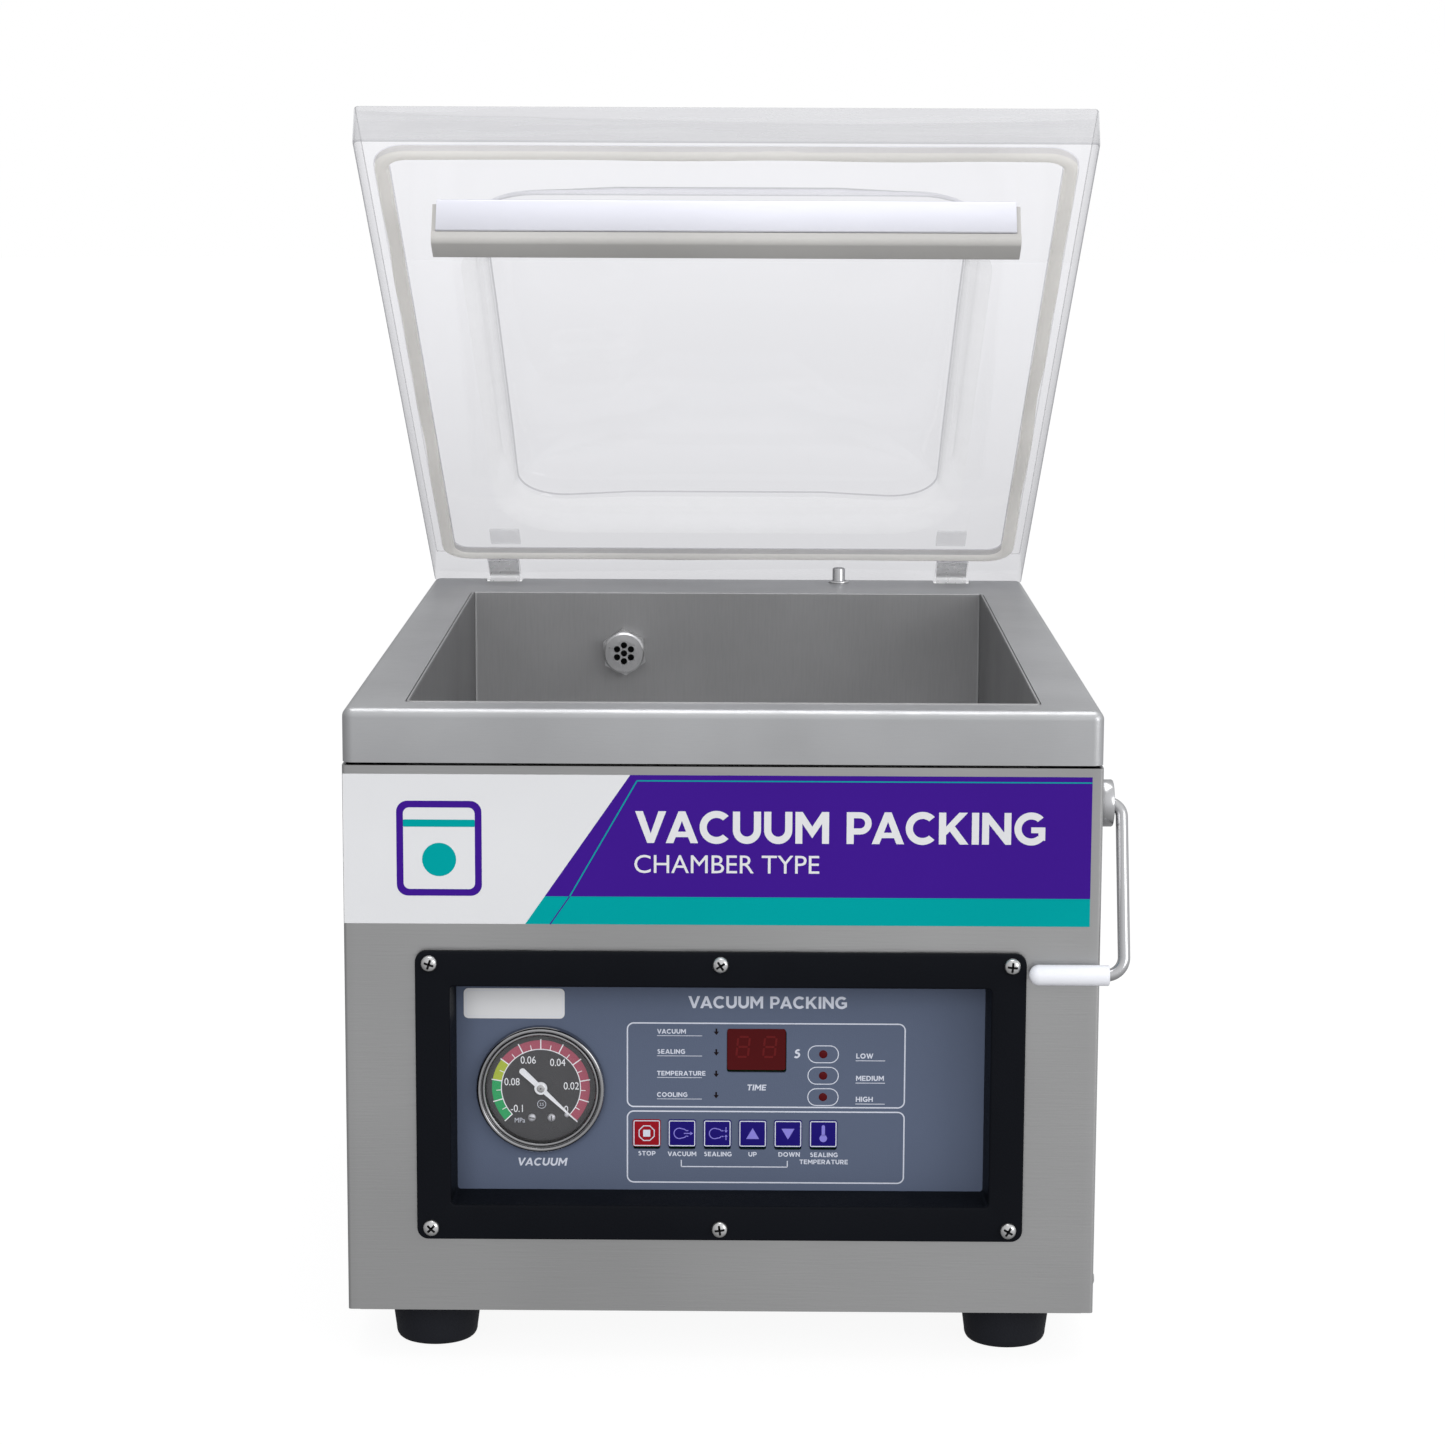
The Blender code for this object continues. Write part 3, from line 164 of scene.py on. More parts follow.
def finish(
    name, color, roughness, metallic=0.0, grain=900, rough=0.07, bump=0.02, blotch=0.04, broad=14, shine=0.1,
    through=0.0,
):
    """A Principled material whose tone, gloss and relief vary with noise, stretched by grain.

    A share of the light can come through from behind it.
    """
    material, tree = new_material(name)
    grain = grain if isinstance(grain, tuple) else (grain, grain, grain)
    shader = tree.nodes["Principled BSDF"]
    shader.inputs["Metallic"].default_value = metallic
    shader.inputs["Specular IOR Level"].default_value = 0.5 if metallic else shine
    gloss = noise_value(tree, grain, 1.0, max(roughness - rough, 0.0), roughness + rough)
    tree.links.new(gloss, shader.inputs["Roughness"])
    tone = toned(tree, color, noise_value(tree, EVEN, broad, 1 - blotch, 1 + blotch))
    tree.links.new(tone, shader.inputs["Base Color"])
    if bump:
        relief = {"Strength": bump, "Distance": 0.0002, "Height": noise_value(tree, grain, 1.0, 0.0, 1.0)}
        tree.links.new(add(tree, "Bump", relief).outputs["Normal"], shader.inputs["Normal"])
    if through:
        backlit = add(tree, "BsdfTranslucent", {"Color": tone}).outputs["BSDF"]
        surface = mixed(tree, through, shader.outputs["BSDF"], backlit)
        tree.links.new(surface, tree.nodes["Material Output"].inputs["Surface"])
    return material


def clear(name, tint, grain, haze=0.0, milk=0.86, slanted=0.9, painted_shade_ends=None):
    """Clear plastic: it mirrors more of what it meets at a slant, and its haze is plain scatter in streaks. Its
    tint can be made darker towards the deck, which is painted shade.
    """
    material, tree = new_material(name)
    tree.nodes.remove(tree.nodes["Principled BSDF"])
    # The tint's tone: painted shade by height where it is given, else a small random variation.
    depth = painted_height_shade(tree, *painted_shade_ends) if painted_shade_ends else noise_value(tree, EVEN, 9, 0.99, 1.01)
    inside = add(tree, "BsdfTransparent", {"Color": toned(tree, tint, depth)}).outputs["BSDF"]
    if haze:
        scatter = add(tree, "BsdfDiffuse", {"Color": (milk, milk, milk * 1.02, 1)}).outputs["BSDF"]
        inside = mixed(tree, noise_value(tree, grain, 1.0, haze * 0.85, haze * 1.15), inside, scatter)
    slant = add(tree, "LayerWeight", {"Blend": 0.5}).outputs["Facing"]
    curve = add(tree, "Math", {0: slant, 1: 5.0})
    curve.operation = "POWER"
    share = add(tree, "MapRange", {"Value": curve.outputs["Value"], "To Min": 0.04, "To Max": slanted})
    mirror = add(tree, "BsdfGlossy", {"Roughness": noise_value(tree, grain, 1.0, 0.01, 0.06)}).outputs["BSDF"]
    surface = mixed(tree, share.outputs["Result"], inside, mirror)
    tree.links.new(surface, tree.nodes["Material Output"].inputs["Surface"])
    return material


EVEN = (1, 1, 1)
BRUSH_X = (12, 2600, 2600)
BRUSH_Y = (2600, 12, 2600)
BRUSH_Z = (1500, 1500, 90)
INK = (0.0, 1500, 0.05, 0.02, 0.02)
LABEL = (0.42, 0.0, 1200, 0.05, 0.03, 0.02, 14)
KEY = (0.40, 0.0, 1700, 0.06, 0.12, 0.06)
FINISHES = {
    "front_steel": ((0.50, 0.50, 0.498), 0.40, 1.0, (60, 1700, 1700), 0.08, 0.10, 0.09, 5),
    "side_steel": ((0.58, 0.58, 0.585), 0.36, 1.0, BRUSH_Y, 0.07, 0.06, 0.05),
    "deck_steel": ((0.60, 0.605, 0.615), 0.42, 1.0, (120, 1500, 1500), 0.07, 0.06, 0.07),
    "chamber_steel": ((0.48, 0.48, 0.482), 0.56, 1.0, BRUSH_Z, 0.06, 0.06, 0.08),
    # A darker copy of chamber_steel for the tub's side walls: painted shade.
    "chamber_side_painted_shade": ((0.30, 0.30, 0.303), 0.56, 1.0, BRUSH_Z, 0.06, 0.06, 0.08),
    "machined_steel": ((0.78, 0.78, 0.78), 0.34, 1.0, 1500, 0.08, 0.05, 0.05),
    "polished_steel": ((0.62, 0.62, 0.63), 0.20, 1.0, 300, 0.05, 0.02, 0.03),
    "satin_steel": ((0.96, 0.96, 0.97), 0.30, 0.5, 300, 0.05, 0.0, 0.02),
    "gauge_rim": ((0.42, 0.42, 0.43), 0.16, 1.0, 200, 0.03, 0.01, 0.02),
    "nickel": ((0.70, 0.70, 0.70), 0.20, 1.0, 900, 0.08, 0.05, 0.04),
    "spring_steel": ((0.34, 0.34, 0.35), 0.35, 1.0),
    "aluminium": ((0.72, 0.725, 0.775), 0.34, 0.6, (60, 1400, 1400), 0.03, 0.015, 0.02),
    "nichrome": ((0.50, 0.44, 0.38), 0.38, 1.0, BRUSH_X),
    "bezel_black": ((0.0055, 0.0063, 0.0088), 0.45, 0.0, 1600, 0.08, 0.25, 0.10, 14, 0.05),
    "panel_blue": ((0.105, 0.130, 0.195), 0.46, 0.0, 2200, 0.06, 0.18, 0.04, 8),
    "print_white": ((0.64, 0.67, 0.76), 0.45, *INK),
    "print_lilac": ((0.25, 0.22, 0.68), 0.45, *INK),
    "print_dark": ((0.010, 0.005, 0.006), 0.45, *INK),
    "key_blue": ((0.010, 0.004, 0.150), *KEY),
    "key_red": ((0.290, 0.005, 0.012), *KEY),
    "display_red": ((0.075, 0.005, 0.006), 0.16, 0.0, 900, 0.04, 0.01, 0.05),
    "segment_red": ((0.125, 0.010, 0.011), 0.25, 0.0, 900, 0.04, 0.01, 0.03),
    "lamp_red": ((0.085, 0.004, 0.006), 0.22, 0.0, 900, 0.04, 0.01, 0.05),
    "label_grey": ((0.72, 0.725, 0.74), 0.40, 0.0, 1200, 0.05, 0.03, 0.02, 14, 0.03),
    "label_purple": ((0.047, 0.0092, 0.250), *LABEL, 0.03),
    "label_teal": ((0.0, 0.33, 0.335), *LABEL, 0.02),
    "dial_grey": ((0.060, 0.060, 0.065), 0.55, 0.0, 2200, 0.06, 0.15, 0.04),
    "dial_red": ((0.42, 0.090, 0.140), 0.50, *INK),
    "dial_green": ((0.020, 0.400, 0.130), 0.50, *INK),
    "dial_lime": ((0.46, 0.55, 0.050), 0.50, *INK),
    "needle_white": ((0.92, 0.93, 0.97), 0.40, *INK),
    "gauge_black": ((0.010, 0.010, 0.011), 0.30, 0.0, 900, 0.05, 0.03, 0.05),
    "rubber_black": ((0.013, 0.014, 0.018), 0.55, 0.0, 1100, 0.10, 0.30, 0.15),
    "grip_white": ((0.87, 0.88, 0.93), 0.30, 0.0, 500, 0.05, 0.05, 0.01),
    "gasket": ((0.95, 0.94, 0.915), 0.45, 0.0, 160, 0.08, 0.10, 0.03, 14, 0.1, 0.62),
    "bar_silicone": ((0.56, 0.55, 0.53), 0.48, 0.0, 160, 0.08, 0.10, 0.05),
    "plastic_black": ((0.012, 0.012, 0.013), 0.38, 0.0, 1200, 0.08, 0.15, 0.10),
    "board_green": ((0.008, 0.09, 0.035), 0.40, 0.0, 500, 0.05, 0.05, 0.10),
    "pump_paint": ((0.045, 0.085, 0.15), 0.42, 0.0, 300, 0.06, 0.15, 0.05),
    "hose_red": ((0.30, 0.05, 0.035), 0.50, 0.0, 400, 0.08, 0.10, 0.05),
    "winding": ((0.30, 0.15, 0.03), 0.42, 0.3, (60, 60, 1500), 0.08, 0.20, 0.10),
}
HAZE_GRAIN = (60, 60, 60)
# Each row holds what clear() takes after the name
CLEAR = {
    # The acrylic's last pair darkens its tint towards the deck: painted shade.
    "acrylic": ((0.985, 0.985, 1.0), HAZE_GRAIN, 0.0, 0.86, 0.5, (0.86, 1.0)),
    "acrylic_edge": ((0.92, 0.92, 0.935), (14, 300, 300), 0.42, 0.44, 0.3),
    # A darker tint that paints dark lines at the dome's crease and along the underside's bevel.
    "acrylic_painted_dark_line": ((0.68, 0.68, 0.70), HAZE_GRAIN, 0.1, 0.6, 0.4),
    "acrylic_pad": ((1.0, 1.0, 1.0), HAZE_GRAIN, 0.12, 0.98, 0.1),
    # A whiter, hazier tint for the rolled lip: a painted highlight band.
    "acrylic_lip_painted_highlight": ((0.97, 0.97, 0.98), HAZE_GRAIN, 0.10, 0.95),
    "gauge_glass": ((0.99, 0.99, 0.99), HAZE_GRAIN),
}
M = {name: finish(name, *row) for name, row in FINISHES.items()}
M.update({name: clear(name, *row) for name, row in CLEAR.items()})


# ---- shapes ------------------------------------------------------------------------------------


def node_box(name):
    """A CAD node's lowest and highest corners, in millimetres from the machine's origin."""
    low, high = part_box(name)
    return (low - ORIGIN) * 1000, (high - ORIGIN) * 1000


def made(name, shapes, material, body="machine", smooth=35, replaces=()):
    """Join shapes into one piece that rides on a body. A shape is a bmesh, or one with its own material."""
    looks, joined = [], bmesh.new()
    for shape in shapes if isinstance(shapes, list) else [shapes]:
        shape, look = shape if isinstance(shape, tuple) else (shape, material)
        if look not in looks:
            looks.append(look)
        for face in shape.faces:
            face.material_index += looks.index(look)
        mesh = bpy.data.meshes.new("shape")
        shape.to_mesh(mesh)
        shape.free()
        joined.from_mesh(mesh)
        bpy.data.meshes.remove(mesh)
    joined.transform({"lid": LID, "lever": LEVER}.get(body, MACHINE))
    mesh = bpy.data.meshes.new(name)
    joined.to_mesh(mesh)
    joined.free()
    for look in looks:
        mesh.materials.append(M[look])
    mesh.shade_smooth()
    mesh.set_sharp_from_angle(angle=radians(smooth))
    piece = bpy.data.objects.new(name, mesh)
    bpy.context.scene.collection.objects.link(piece)
    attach(piece, body)
    if replaces:
        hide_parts(*replaces)
    return piece


def moved(shape, *matrices):
    """Apply matrices to a shape, the last one first."""
    for matrix in reversed(matrices):
        shape.transform(matrix)
    return shape


def from_curve(curve, weld=0.0001):
    """A curve or text as a shape with its caps joined on."""
    guide = bpy.data.objects.new("guide", curve)
    bpy.context.scene.collection.objects.link(guide)
    graph = bpy.context.evaluated_depsgraph_get()
    mesh = bpy.data.meshes.new_from_object(guide.evaluated_get(graph))
    shape = bmesh.new()
    shape.from_mesh(mesh)
    bmesh.ops.remove_doubles(shape, verts=shape.verts, dist=weld)
    for face in shape.faces:
        face.material_index = 0
    bpy.data.objects.remove(guide)
    bpy.data.meshes.remove(mesh)
    return shape


def prism(outlines, depth, plane=FRONT):
    """A flat solid from outlines, with holes where they nest, from its plane to a depth."""
    curve = bpy.data.curves.new("outline", "CURVE")
    curve.dimensions = "2D"
    curve.fill_mode = "BOTH"
    curve.extrude = depth / 2
    for outline in outlines:
        spline = curve.splines.new("POLY")
        spline.points.add(len(outline) - 1)
        for point, (u, v) in zip(spline.points, outline):
            point.co = (u, v, 0, 1)
        spline.use_cyclic_u = True
    return moved(from_curve(curve), plane, shift(0, 0, depth / 2))


def lettering(words, height, place, align="CENTER", wide=1.0):
    """Capital letters of a height, their middle or left end at a place."""
    curve = bpy.data.curves.new("words", "FONT")
    curve.body = words
    curve.size = height / 0.72
    curve.align_x = align
    curve.align_y = "BOTTOM_BASELINE"
    curve.extrude = INK_DEPTH / 2
    curve.resolution_u = 4
    size = Matrix.Diagonal((wide, 1, 1, 1))
    return moved(from_curve(curve, 0.00001), FRONT, shift(place[0], place[1] - height / 2, INK_DEPTH / 2), size)


def heavy_letters():
    """Plain geometric capitals, one unit high: each one's width and outlines."""
    bowl = [(0, 0), (0.22, 0), (0.22, 0.3), *arc((0.42, 0.65), 0.35, -90, 90, 14), (0, 1)]
    eye = [(0.22, 0.49), *arc((0.41, 0.65), 0.16, -90, 90, 10), (0.22, 0.81)]
    cup = [(0, 1), *arc((0.435, 0.42), 0.435, 180, 360, 24), (0.87, 1), (0.65, 1)]
    cup += [*arc((0.435, 0.43), 0.215, 360, 180, 18), (0.22, 1)]
    hook, inner = arc((0.52, 0.5), 0.52, 44, 316, 34), arc((0.52, 0.5), 0.3, 312, 48, 28)
    shelf = [(0.955, 0.13), (0.955, 0.55), (0.52, 0.55), (0.52, 0.37), (0.745, 0.37), (0.745, 0.26)]
    round_s = [*arc((0.38, 0.73), 0.17, 35, 270, 14), *arc((0.38, 0.33), 0.23, 90, -145, 16)]
    leg = [(0, 0), (0.22, 0), (0.22, 0.3), (0.36, 0.3), (0.56, 0), (0.82, 0), (0.6, 0.33)]
    return {
        "D": (0.9, [
            [(0, 0), *arc((0.4, 0.5), 0.5, -90, 90, 20), (0, 1)],
            [(0.22, 0.19), *arc((0.38, 0.5), 0.31, -90, 90, 16), (0.22, 0.81)],
        ]),
        "E": (0.72, [
            [(0, 0), (0.72, 0), (0.72, 0.19), (0.22, 0.19), (0.22, 0.41), (0.65, 0.41)]
            + [(0.65, 0.59), (0.22, 0.59), (0.22, 0.81), (0.7, 0.81), (0.7, 1), (0, 1)]
        ]),
        "H": (0.88, [
            [(0, 0), (0.22, 0), (0.22, 0.4), (0.66, 0.4), (0.66, 0), (0.88, 0)]
            + [(0.88, 1), (0.66, 1), (0.66, 0.6), (0.22, 0.6), (0.22, 1), (0, 1)]
        ]),
        "L": (0.66, [[(0, 0), (0.66, 0), (0.66, 0.19), (0.22, 0.19), (0.22, 1), (0, 1)]]),
        "O": (1.04, [circle(0.52, (0.52, 0.5), 36), circle(0.3, (0.52, 0.5), 28)]),
        "R": (0.82, [leg + [*arc((0.44, 0.65), 0.35, -62, 90, 12), (0, 1)], eye]),
        "S": (0.76, [[(u * 1.05 - 0.02, v) for u, v in ribbon(round_s, 0.2)]]),
        "T": (0.8, [
            [(0.29, 0), (0.51, 0), (0.51, 0.81), (0.8, 0.81), (0.8, 1), (0, 1), (0, 0.81), (0.29, 0.81)]
        ]),
        "W": (1.36, [
            [(0.3, 0), (0.51, 0), (0.68, 0.6), (0.85, 0), (1.06, 0), (1.36, 1), (1.13, 1)]
            + [(0.95, 0.34), (0.78, 1), (0.58, 1), (0.41, 0.34), (0.23, 1), (0, 1)]
        ]),
        "V": (0.96, [[(0, 1), (0.24, 1), (0.48, 0.3), (0.72, 1), (0.96, 1), (0.585, 0), (0.375, 0)]]),
        "A": (1.0, [
            [(0, 0), (0.395, 1), (0.605, 1), (1, 0), (0.765, 0), (0.69, 0.19), (0.31, 0.19), (0.235, 0)],
            [(0.375, 0.36), (0.625, 0.36), (0.5, 0.7)],
        ]),
        "C": (0.93, [hook + inner]),
        "G": (0.955, [hook + shelf + inner]),
        "I": (0.22, [[(0, 0), (0.22, 0), (0.22, 1), (0, 1)]]),
        "K": (0.92, [
            [(0, 0), (0.22, 0), (0.22, 0.29), (0.335, 0.41), (0.65, 0), (0.92, 0)]
            + [(0.49, 0.57), (0.89, 1), (0.62, 1), (0.22, 0.56), (0.22, 1), (0, 1)]
        ]),
        "M": (1.04, [
            [(0, 0), (0.215, 0), (0.215, 0.63), (0.515, 0.18), (0.525, 0.18), (0.825, 0.63), (0.825, 0)]
            + [(1.04, 0), (1.04, 1), (0.82, 1), (0.52, 0.535), (0.22, 1), (0, 1)]
        ]),
        "N": (0.9, [
            [(0, 0), (0.215, 0), (0.215, 0.64), (0.72, 0), (0.9, 0)]
            + [(0.9, 1), (0.685, 1), (0.685, 0.38), (0.195, 1), (0, 1)]
        ]),
        "P": (0.77, [bowl, eye]),
        "U": (0.87, [cup]),
    }


def heavy(words, height, place, width=0, align="LEFT", slant=0.0):
    """Heavy capitals, their middle line at a place, spaced to fill a width or by a plain gap."""
    letters = heavy_letters()
    space, gap, tight = 0.35, 0.13, {"VA": -0.11, "AC": -0.05, "PA": -0.09}
    pairs = [tight.get(words[i : i + 2], 0) for i in range(len(words))]
    taken = sum(space if letter == " " else letters[letter][0] for letter in words) + sum(pairs)
    if width:
        gap = (width / height - taken) / (len(words) - 1)
    along = -(taken + gap * (len(words) - 1)) / 2 if align == "CENTER" else 0
    outlines = []
    for letter, pair in zip(words, pairs):
        advance, shapes = letters.get(letter, (space, []))
        for shape in shapes:
            drawn = [(along + u + v * slant, v - 0.5) for u, v in shape]
            outlines.append([(place[0] + u * height, place[1] + v * height) for u, v in drawn])
        along += advance + gap + pair
    return prism(outlines, INK_DEPTH)


def block(corner, opposite, bevel=0.4, segments=2):
    shape = bmesh.new()
    bmesh.ops.create_cube(shape, size=1.0)
    corner, opposite = Vector(corner), Vector(opposite)
    bmesh.ops.scale(shape, vec=[abs(side) for side in opposite - corner], verts=shape.verts)
    bmesh.ops.translate(shape, vec=(corner + opposite) / 2, verts=shape.verts)
    if bevel:
        bmesh.ops.bevel(shape, geom=shape.edges, offset=bevel, segments=segments, profile=0.5, affect="EDGES")
    return shape


def lathe(profile, steps=64):
    """Turn a profile of (radius, height) about z."""
    shape = bmesh.new()
    points = [shape.verts.new((radius, 0, height)) for radius, height in profile]
    edges = [shape.edges.new(pair) for pair in zip(points, points[1:])]
    bmesh.ops.spin(shape, geom=points + edges, cent=(0, 0, 0), axis=(0, 0, 1), angle=2 * pi, steps=steps)
    bmesh.ops.remove_doubles(shape, verts=shape.verts, dist=0.001)
    bmesh.ops.recalc_face_normals(shape, faces=shape.faces)
    return shape


def tube(points, radius, sides=5):
    curve = bpy.data.curves.new("tube", "CURVE")
    curve.dimensions = "3D"
    curve.bevel_depth = radius
    curve.bevel_resolution = sides
    curve.use_fill_caps = True
    spline = curve.splines.new("POLY")
    spline.points.add(len(points) - 1)
    for point, position in zip(spline.points, points):
        point.co = (*position, 1)
    return from_curve(curve)


def loft(rings, closed=False):
    """Skin rings that have the same number of points, capped at both ends or closed on themselves."""
    shape = bmesh.new()
    loops = [[shape.verts.new(point) for point in ring] for ring in rings]
    pairs = list(zip(loops, loops[1:]))
    if closed:
        pairs.append((loops[-1], loops[0]))
    else:
        shape.faces.new(loops[0])
        shape.faces.new(loops[-1])
    for first, second in pairs:
        for i in range(len(first)):
            j = (i + 1) % len(first)
            shape.faces.new((first[i], first[j], second[j], second[i]))
    bmesh.ops.recalc_face_normals(shape, faces=shape.faces)
    return shape


def cut(piece, *shapes):
    """Cut shapes, drawn in metres, out of a piece for good."""
    for shape in shapes:
        mesh = bpy.data.meshes.new("cutter")
        shape.to_mesh(mesh)
        shape.free()
        cutter = bpy.data.objects.new("cutter", mesh)
        bpy.context.scene.collection.objects.link(cutter)
        boolean = piece.modifiers.new("cut", "BOOLEAN")
        boolean.operation = "DIFFERENCE"
        boolean.object = cutter
        graph = bpy.context.evaluated_depsgraph_get()
        result = bpy.data.meshes.new_from_object(piece.evaluated_get(graph))
        piece.modifiers.clear()
        old = piece.data
        piece.data = result
        bpy.data.meshes.remove(old)
        bpy.data.objects.remove(cutter)
    piece.data.set_sharp_from_angle(angle=radians(30))


def rectangle(half_u, half_v, radius=0.0, middle=(0, 0), steps=8, straight=1):
    """A rectangle's outline, counterclockwise from its right side, with round corners.

    Each side can be split into equal pieces, so that outlines of several sizes keep the same number of points.
    """
    corners = []
    for quarter, (su, sv) in enumerate(((1, 1), (-1, 1), (-1, -1), (1, -1))):
        u, v = middle[0] + su * (half_u - radius), middle[1] + sv * (half_v - radius)
        start = 90 * quarter
        corners.append(arc((u, v), radius, start, start + 90, steps) if radius else [(u, v)])
    points = []
    for corner, following in zip(corners, corners[1:] + corners[:1]):
        points += corner
        for i in range(1, straight):
            points.append(tuple(Vector(corner[-1]).lerp(Vector(following[0]), i / straight)))
    return points


def ring(half_u, half_v, radius, height, middle=(0, 0), steps=8, straight=1):
    return [(u, v, height) for u, v in rectangle(half_u, half_v, radius, middle, steps, straight)]


def circle(radius, middle=(0, 0), sides=32):
    turns = [2 * pi * i / sides for i in range(sides)]
    return [(middle[0] + radius * cos(a), middle[1] + radius * sin(a)) for a in turns]


def quarter(steps):
    """The angles of a quarter turn in equal steps."""
    return [pi / 2 * i / steps for i in range(steps + 1)]


def arc(middle, radius, start, end, steps):
    """Points round a middle, from one angle in degrees to another."""
    turns = [radians(start + (end - start) * i / steps) for i in range(steps + 1)]
    return [(middle[0] + radius * cos(a), middle[1] + radius * sin(a)) for a in turns]


def ribbon(line, width):
    """The outline of a line drawn with a width."""
    sides = [], []
    for i, point in enumerate(line):
        before, after = Vector(line[max(i - 1, 0)]), Vector(line[min(i + 1, len(line) - 1)])
        along = (after - before).normalized()
        across = Vector((-along.y, along.x)) * width / 2
        sides[0].append(tuple(Vector(point) + across))
        sides[1].append(tuple(Vector(point) - across))
    return sides[0] + sides[1][::-1]


def bar(start, end, width):
    return ribbon([start, end], width)


def turn(outline, angle, middle=(0, 0)):
    c, s = cos(angle), sin(angle)
    return [(middle[0] + u * c - v * s, middle[1] + u * s + v * c) for u, v in outline]


def frame_line(half_u, half_v, radius, middle, width):
    """A round-cornered frame drawn as a line."""
    inner = rectangle(half_u - width, half_v - width, max(radius - width, 0.3), middle)
    return [rectangle(half_u, half_v, radius, middle), inner]


# ---- body --------------------------------------------------------------------------------------


def paint(look, *names):
    """Give CAD nodes that stay a better material."""
    for name in names:
        NODES[name].data.materials.clear()
        NODES[name].data.materials.append(M[look])


def keep_cad_nodes():
    paint("side_steel", "base_tray", "back_panel", "hinge_bracket_left", "hinge_bracket_right")
    paint("polished_steel", "hinge_shaft", "lift_rod_left", "lift_rod_right")
    paint("aluminium", "lift_cylinder_left", "lift_cylinder_right", "seal_bar")
    paint("nickel", "solenoid_valve")
    paint("nichrome", "heating_strip")
    paint("board_green", "control_board")
    paint("pump_paint", "pump_motor", "pump_head")
    paint("winding", "transformer")
    paint("hose_red", "vacuum_hose")
    paint("panel_blue", "control_panel_plate")
    paint("plastic_black", "power_inlet", "main_switch_rocker")


def deck():
    """The top cover: rounded top edges, a mouth with a fine raised lip, notches for the straps."""
    radius, lip = 4.0, 0.35
    middle = (0, LENGTH / 2)
    low, high = node_box("chamber_tub")
    mouth, mouth_middle = (high - low) / 2, ((low.x + high.x) / 2, (low.y + high.y) / 2)
    rings = [ring(HALF, LENGTH / 2, 5.0, -SKIRT, middle)]
    for angle in quarter(8):
        inset, drop = radius * (1 - cos(angle)), radius * (1 - sin(angle))
        rings.append(ring(HALF - inset, LENGTH / 2 - inset, 5.0 - inset, -drop, middle))
    rings += [ring(mouth.x + lip, mouth.y + lip, 3.3, height, mouth_middle) for height in (0.0, -SHEET)]
    rings += [ring(HALF - SHEET, LENGTH / 2 - SHEET, 3.5, height, middle) for height in (-SHEET, -SKIRT)]
    cover = made("deck_cover", loft(rings, closed=True), "deck_steel", replaces=("deck",))
    for side in (-1, 1):
        notch = rectangle(10.3, 9.0, 1.2, (side * STRAP_X, LENGTH - 8.0), 4)
        cut(cover, moved(prism([notch], 30, FLAT), MACHINE, shift(0, 0, -16)))
    cut(cover, moved(prism([circle(5.0, SWITCH)], 20, FLAT), MACHINE, shift(0, 0, -10)))


def chamber():
    """The tub, folded from sheet, with a rolled lip round its mouth and painted shade on its side walls."""
    low, high = node_box("chamber_tub")
    middle = ((low.x + high.x) / 2, (low.y + high.y) / 2)
    half_u, half_v, rim, bottom = (high.x - low.x) / 2, (high.y - low.y) / 2, high.z, low.z
    corner, foot = 3.0, 6.0
    rings = []
    for wall in (0.0, SHEET):
        side = []
        for angle in quarter(6):
            inset = (foot - wall) * (1 - sin(angle))
            height = bottom + wall + (foot - wall) * (1 - cos(angle))
            radius = max(corner - wall - inset, 0.8)
            side.append(ring(half_u - wall - inset, half_v - wall - inset, radius, height, middle))
        side.append(ring(half_u - wall, half_v - wall, max(corner - wall, 0.8), rim - 0.5, middle))
        inset, sharper = (wall - 0.35, wall - 0.3) if wall else (0.35, 0.3)
        side.append(ring(half_u - inset, half_v - inset, corner - sharper, rim, middle))
        rings += side[::-1] if wall else side
    folded = loft(rings)
    # Faces turned to the sides take the darker copy of the steel, which paints shade on the side walls.
    for face in folded.faces:
        face.material_index = 1 if abs(face.normal.x) > 0.7 else 0
    tub = made("chamber", folded, "chamber_steel", replaces=("chamber_tub",))
    tub.data.materials.append(M["chamber_side_painted_shade"])
    port = sum(node_box("suction_port"), Vector()) / 2
    hole = moved(prism([circle(6.5, (port.x, port.z))], 12), MACHINE, shift(0, high.y + 5, 0))
    cut(tub, hole)


def side_panels():
    """Folded side panels: the front fold has a small radius and stops in a crease."""
    top, bottom = -SKIRT - 1.2, -272.9
    radius = 1.6
    for side, name in ((-1, "left"), (1, "right")):
        outer = [(HALF - FOLD, 0.0), *arc((HALF - radius, radius), radius, -90, 0, 6)]
        outer += [*arc((HALF - radius, LENGTH - radius), radius, 0, 90, 6), (HALF - FOLD, LENGTH)]
        inner = [(HALF - FOLD, LENGTH - SHEET), (HALF - SHEET, LENGTH - SHEET)]
        inner += [(HALF - SHEET, SHEET), (HALF - FOLD, SHEET)]
        outline = [(side * u, v) for u, v in outer + inner]
        folded = moved(prism([outline], top - bottom, FLAT), shift(0, 0, bottom))
        for face in folded.faces:
            face.material_index = 1 if face.normal.y < -0.5 else 0
        replaced = (f"{name}_side_panel",)
        panel = made(f"side_panel_{name}", folded, "side_steel", smooth=40, replaces=replaced)
        panel.data.materials.append(M["front_steel"])


def front_panel():
    """The flat sheet between the folds, with a window for the control panel."""
    low, high = node_box("front_panel")
    outline = rectangle(HALF - FOLD, (high.z - low.z) / 2, 0.2, (0, (low.z + high.z) / 2), 2)
    window = rectangle(122.4, 52.6, 3.0, BEZEL_MIDDLE)
    panel = moved(prism([outline, window], SHEET), shift(0, SHEET, 0))
    made("front_sheet", panel, "front_steel", replaces=("front_panel",))


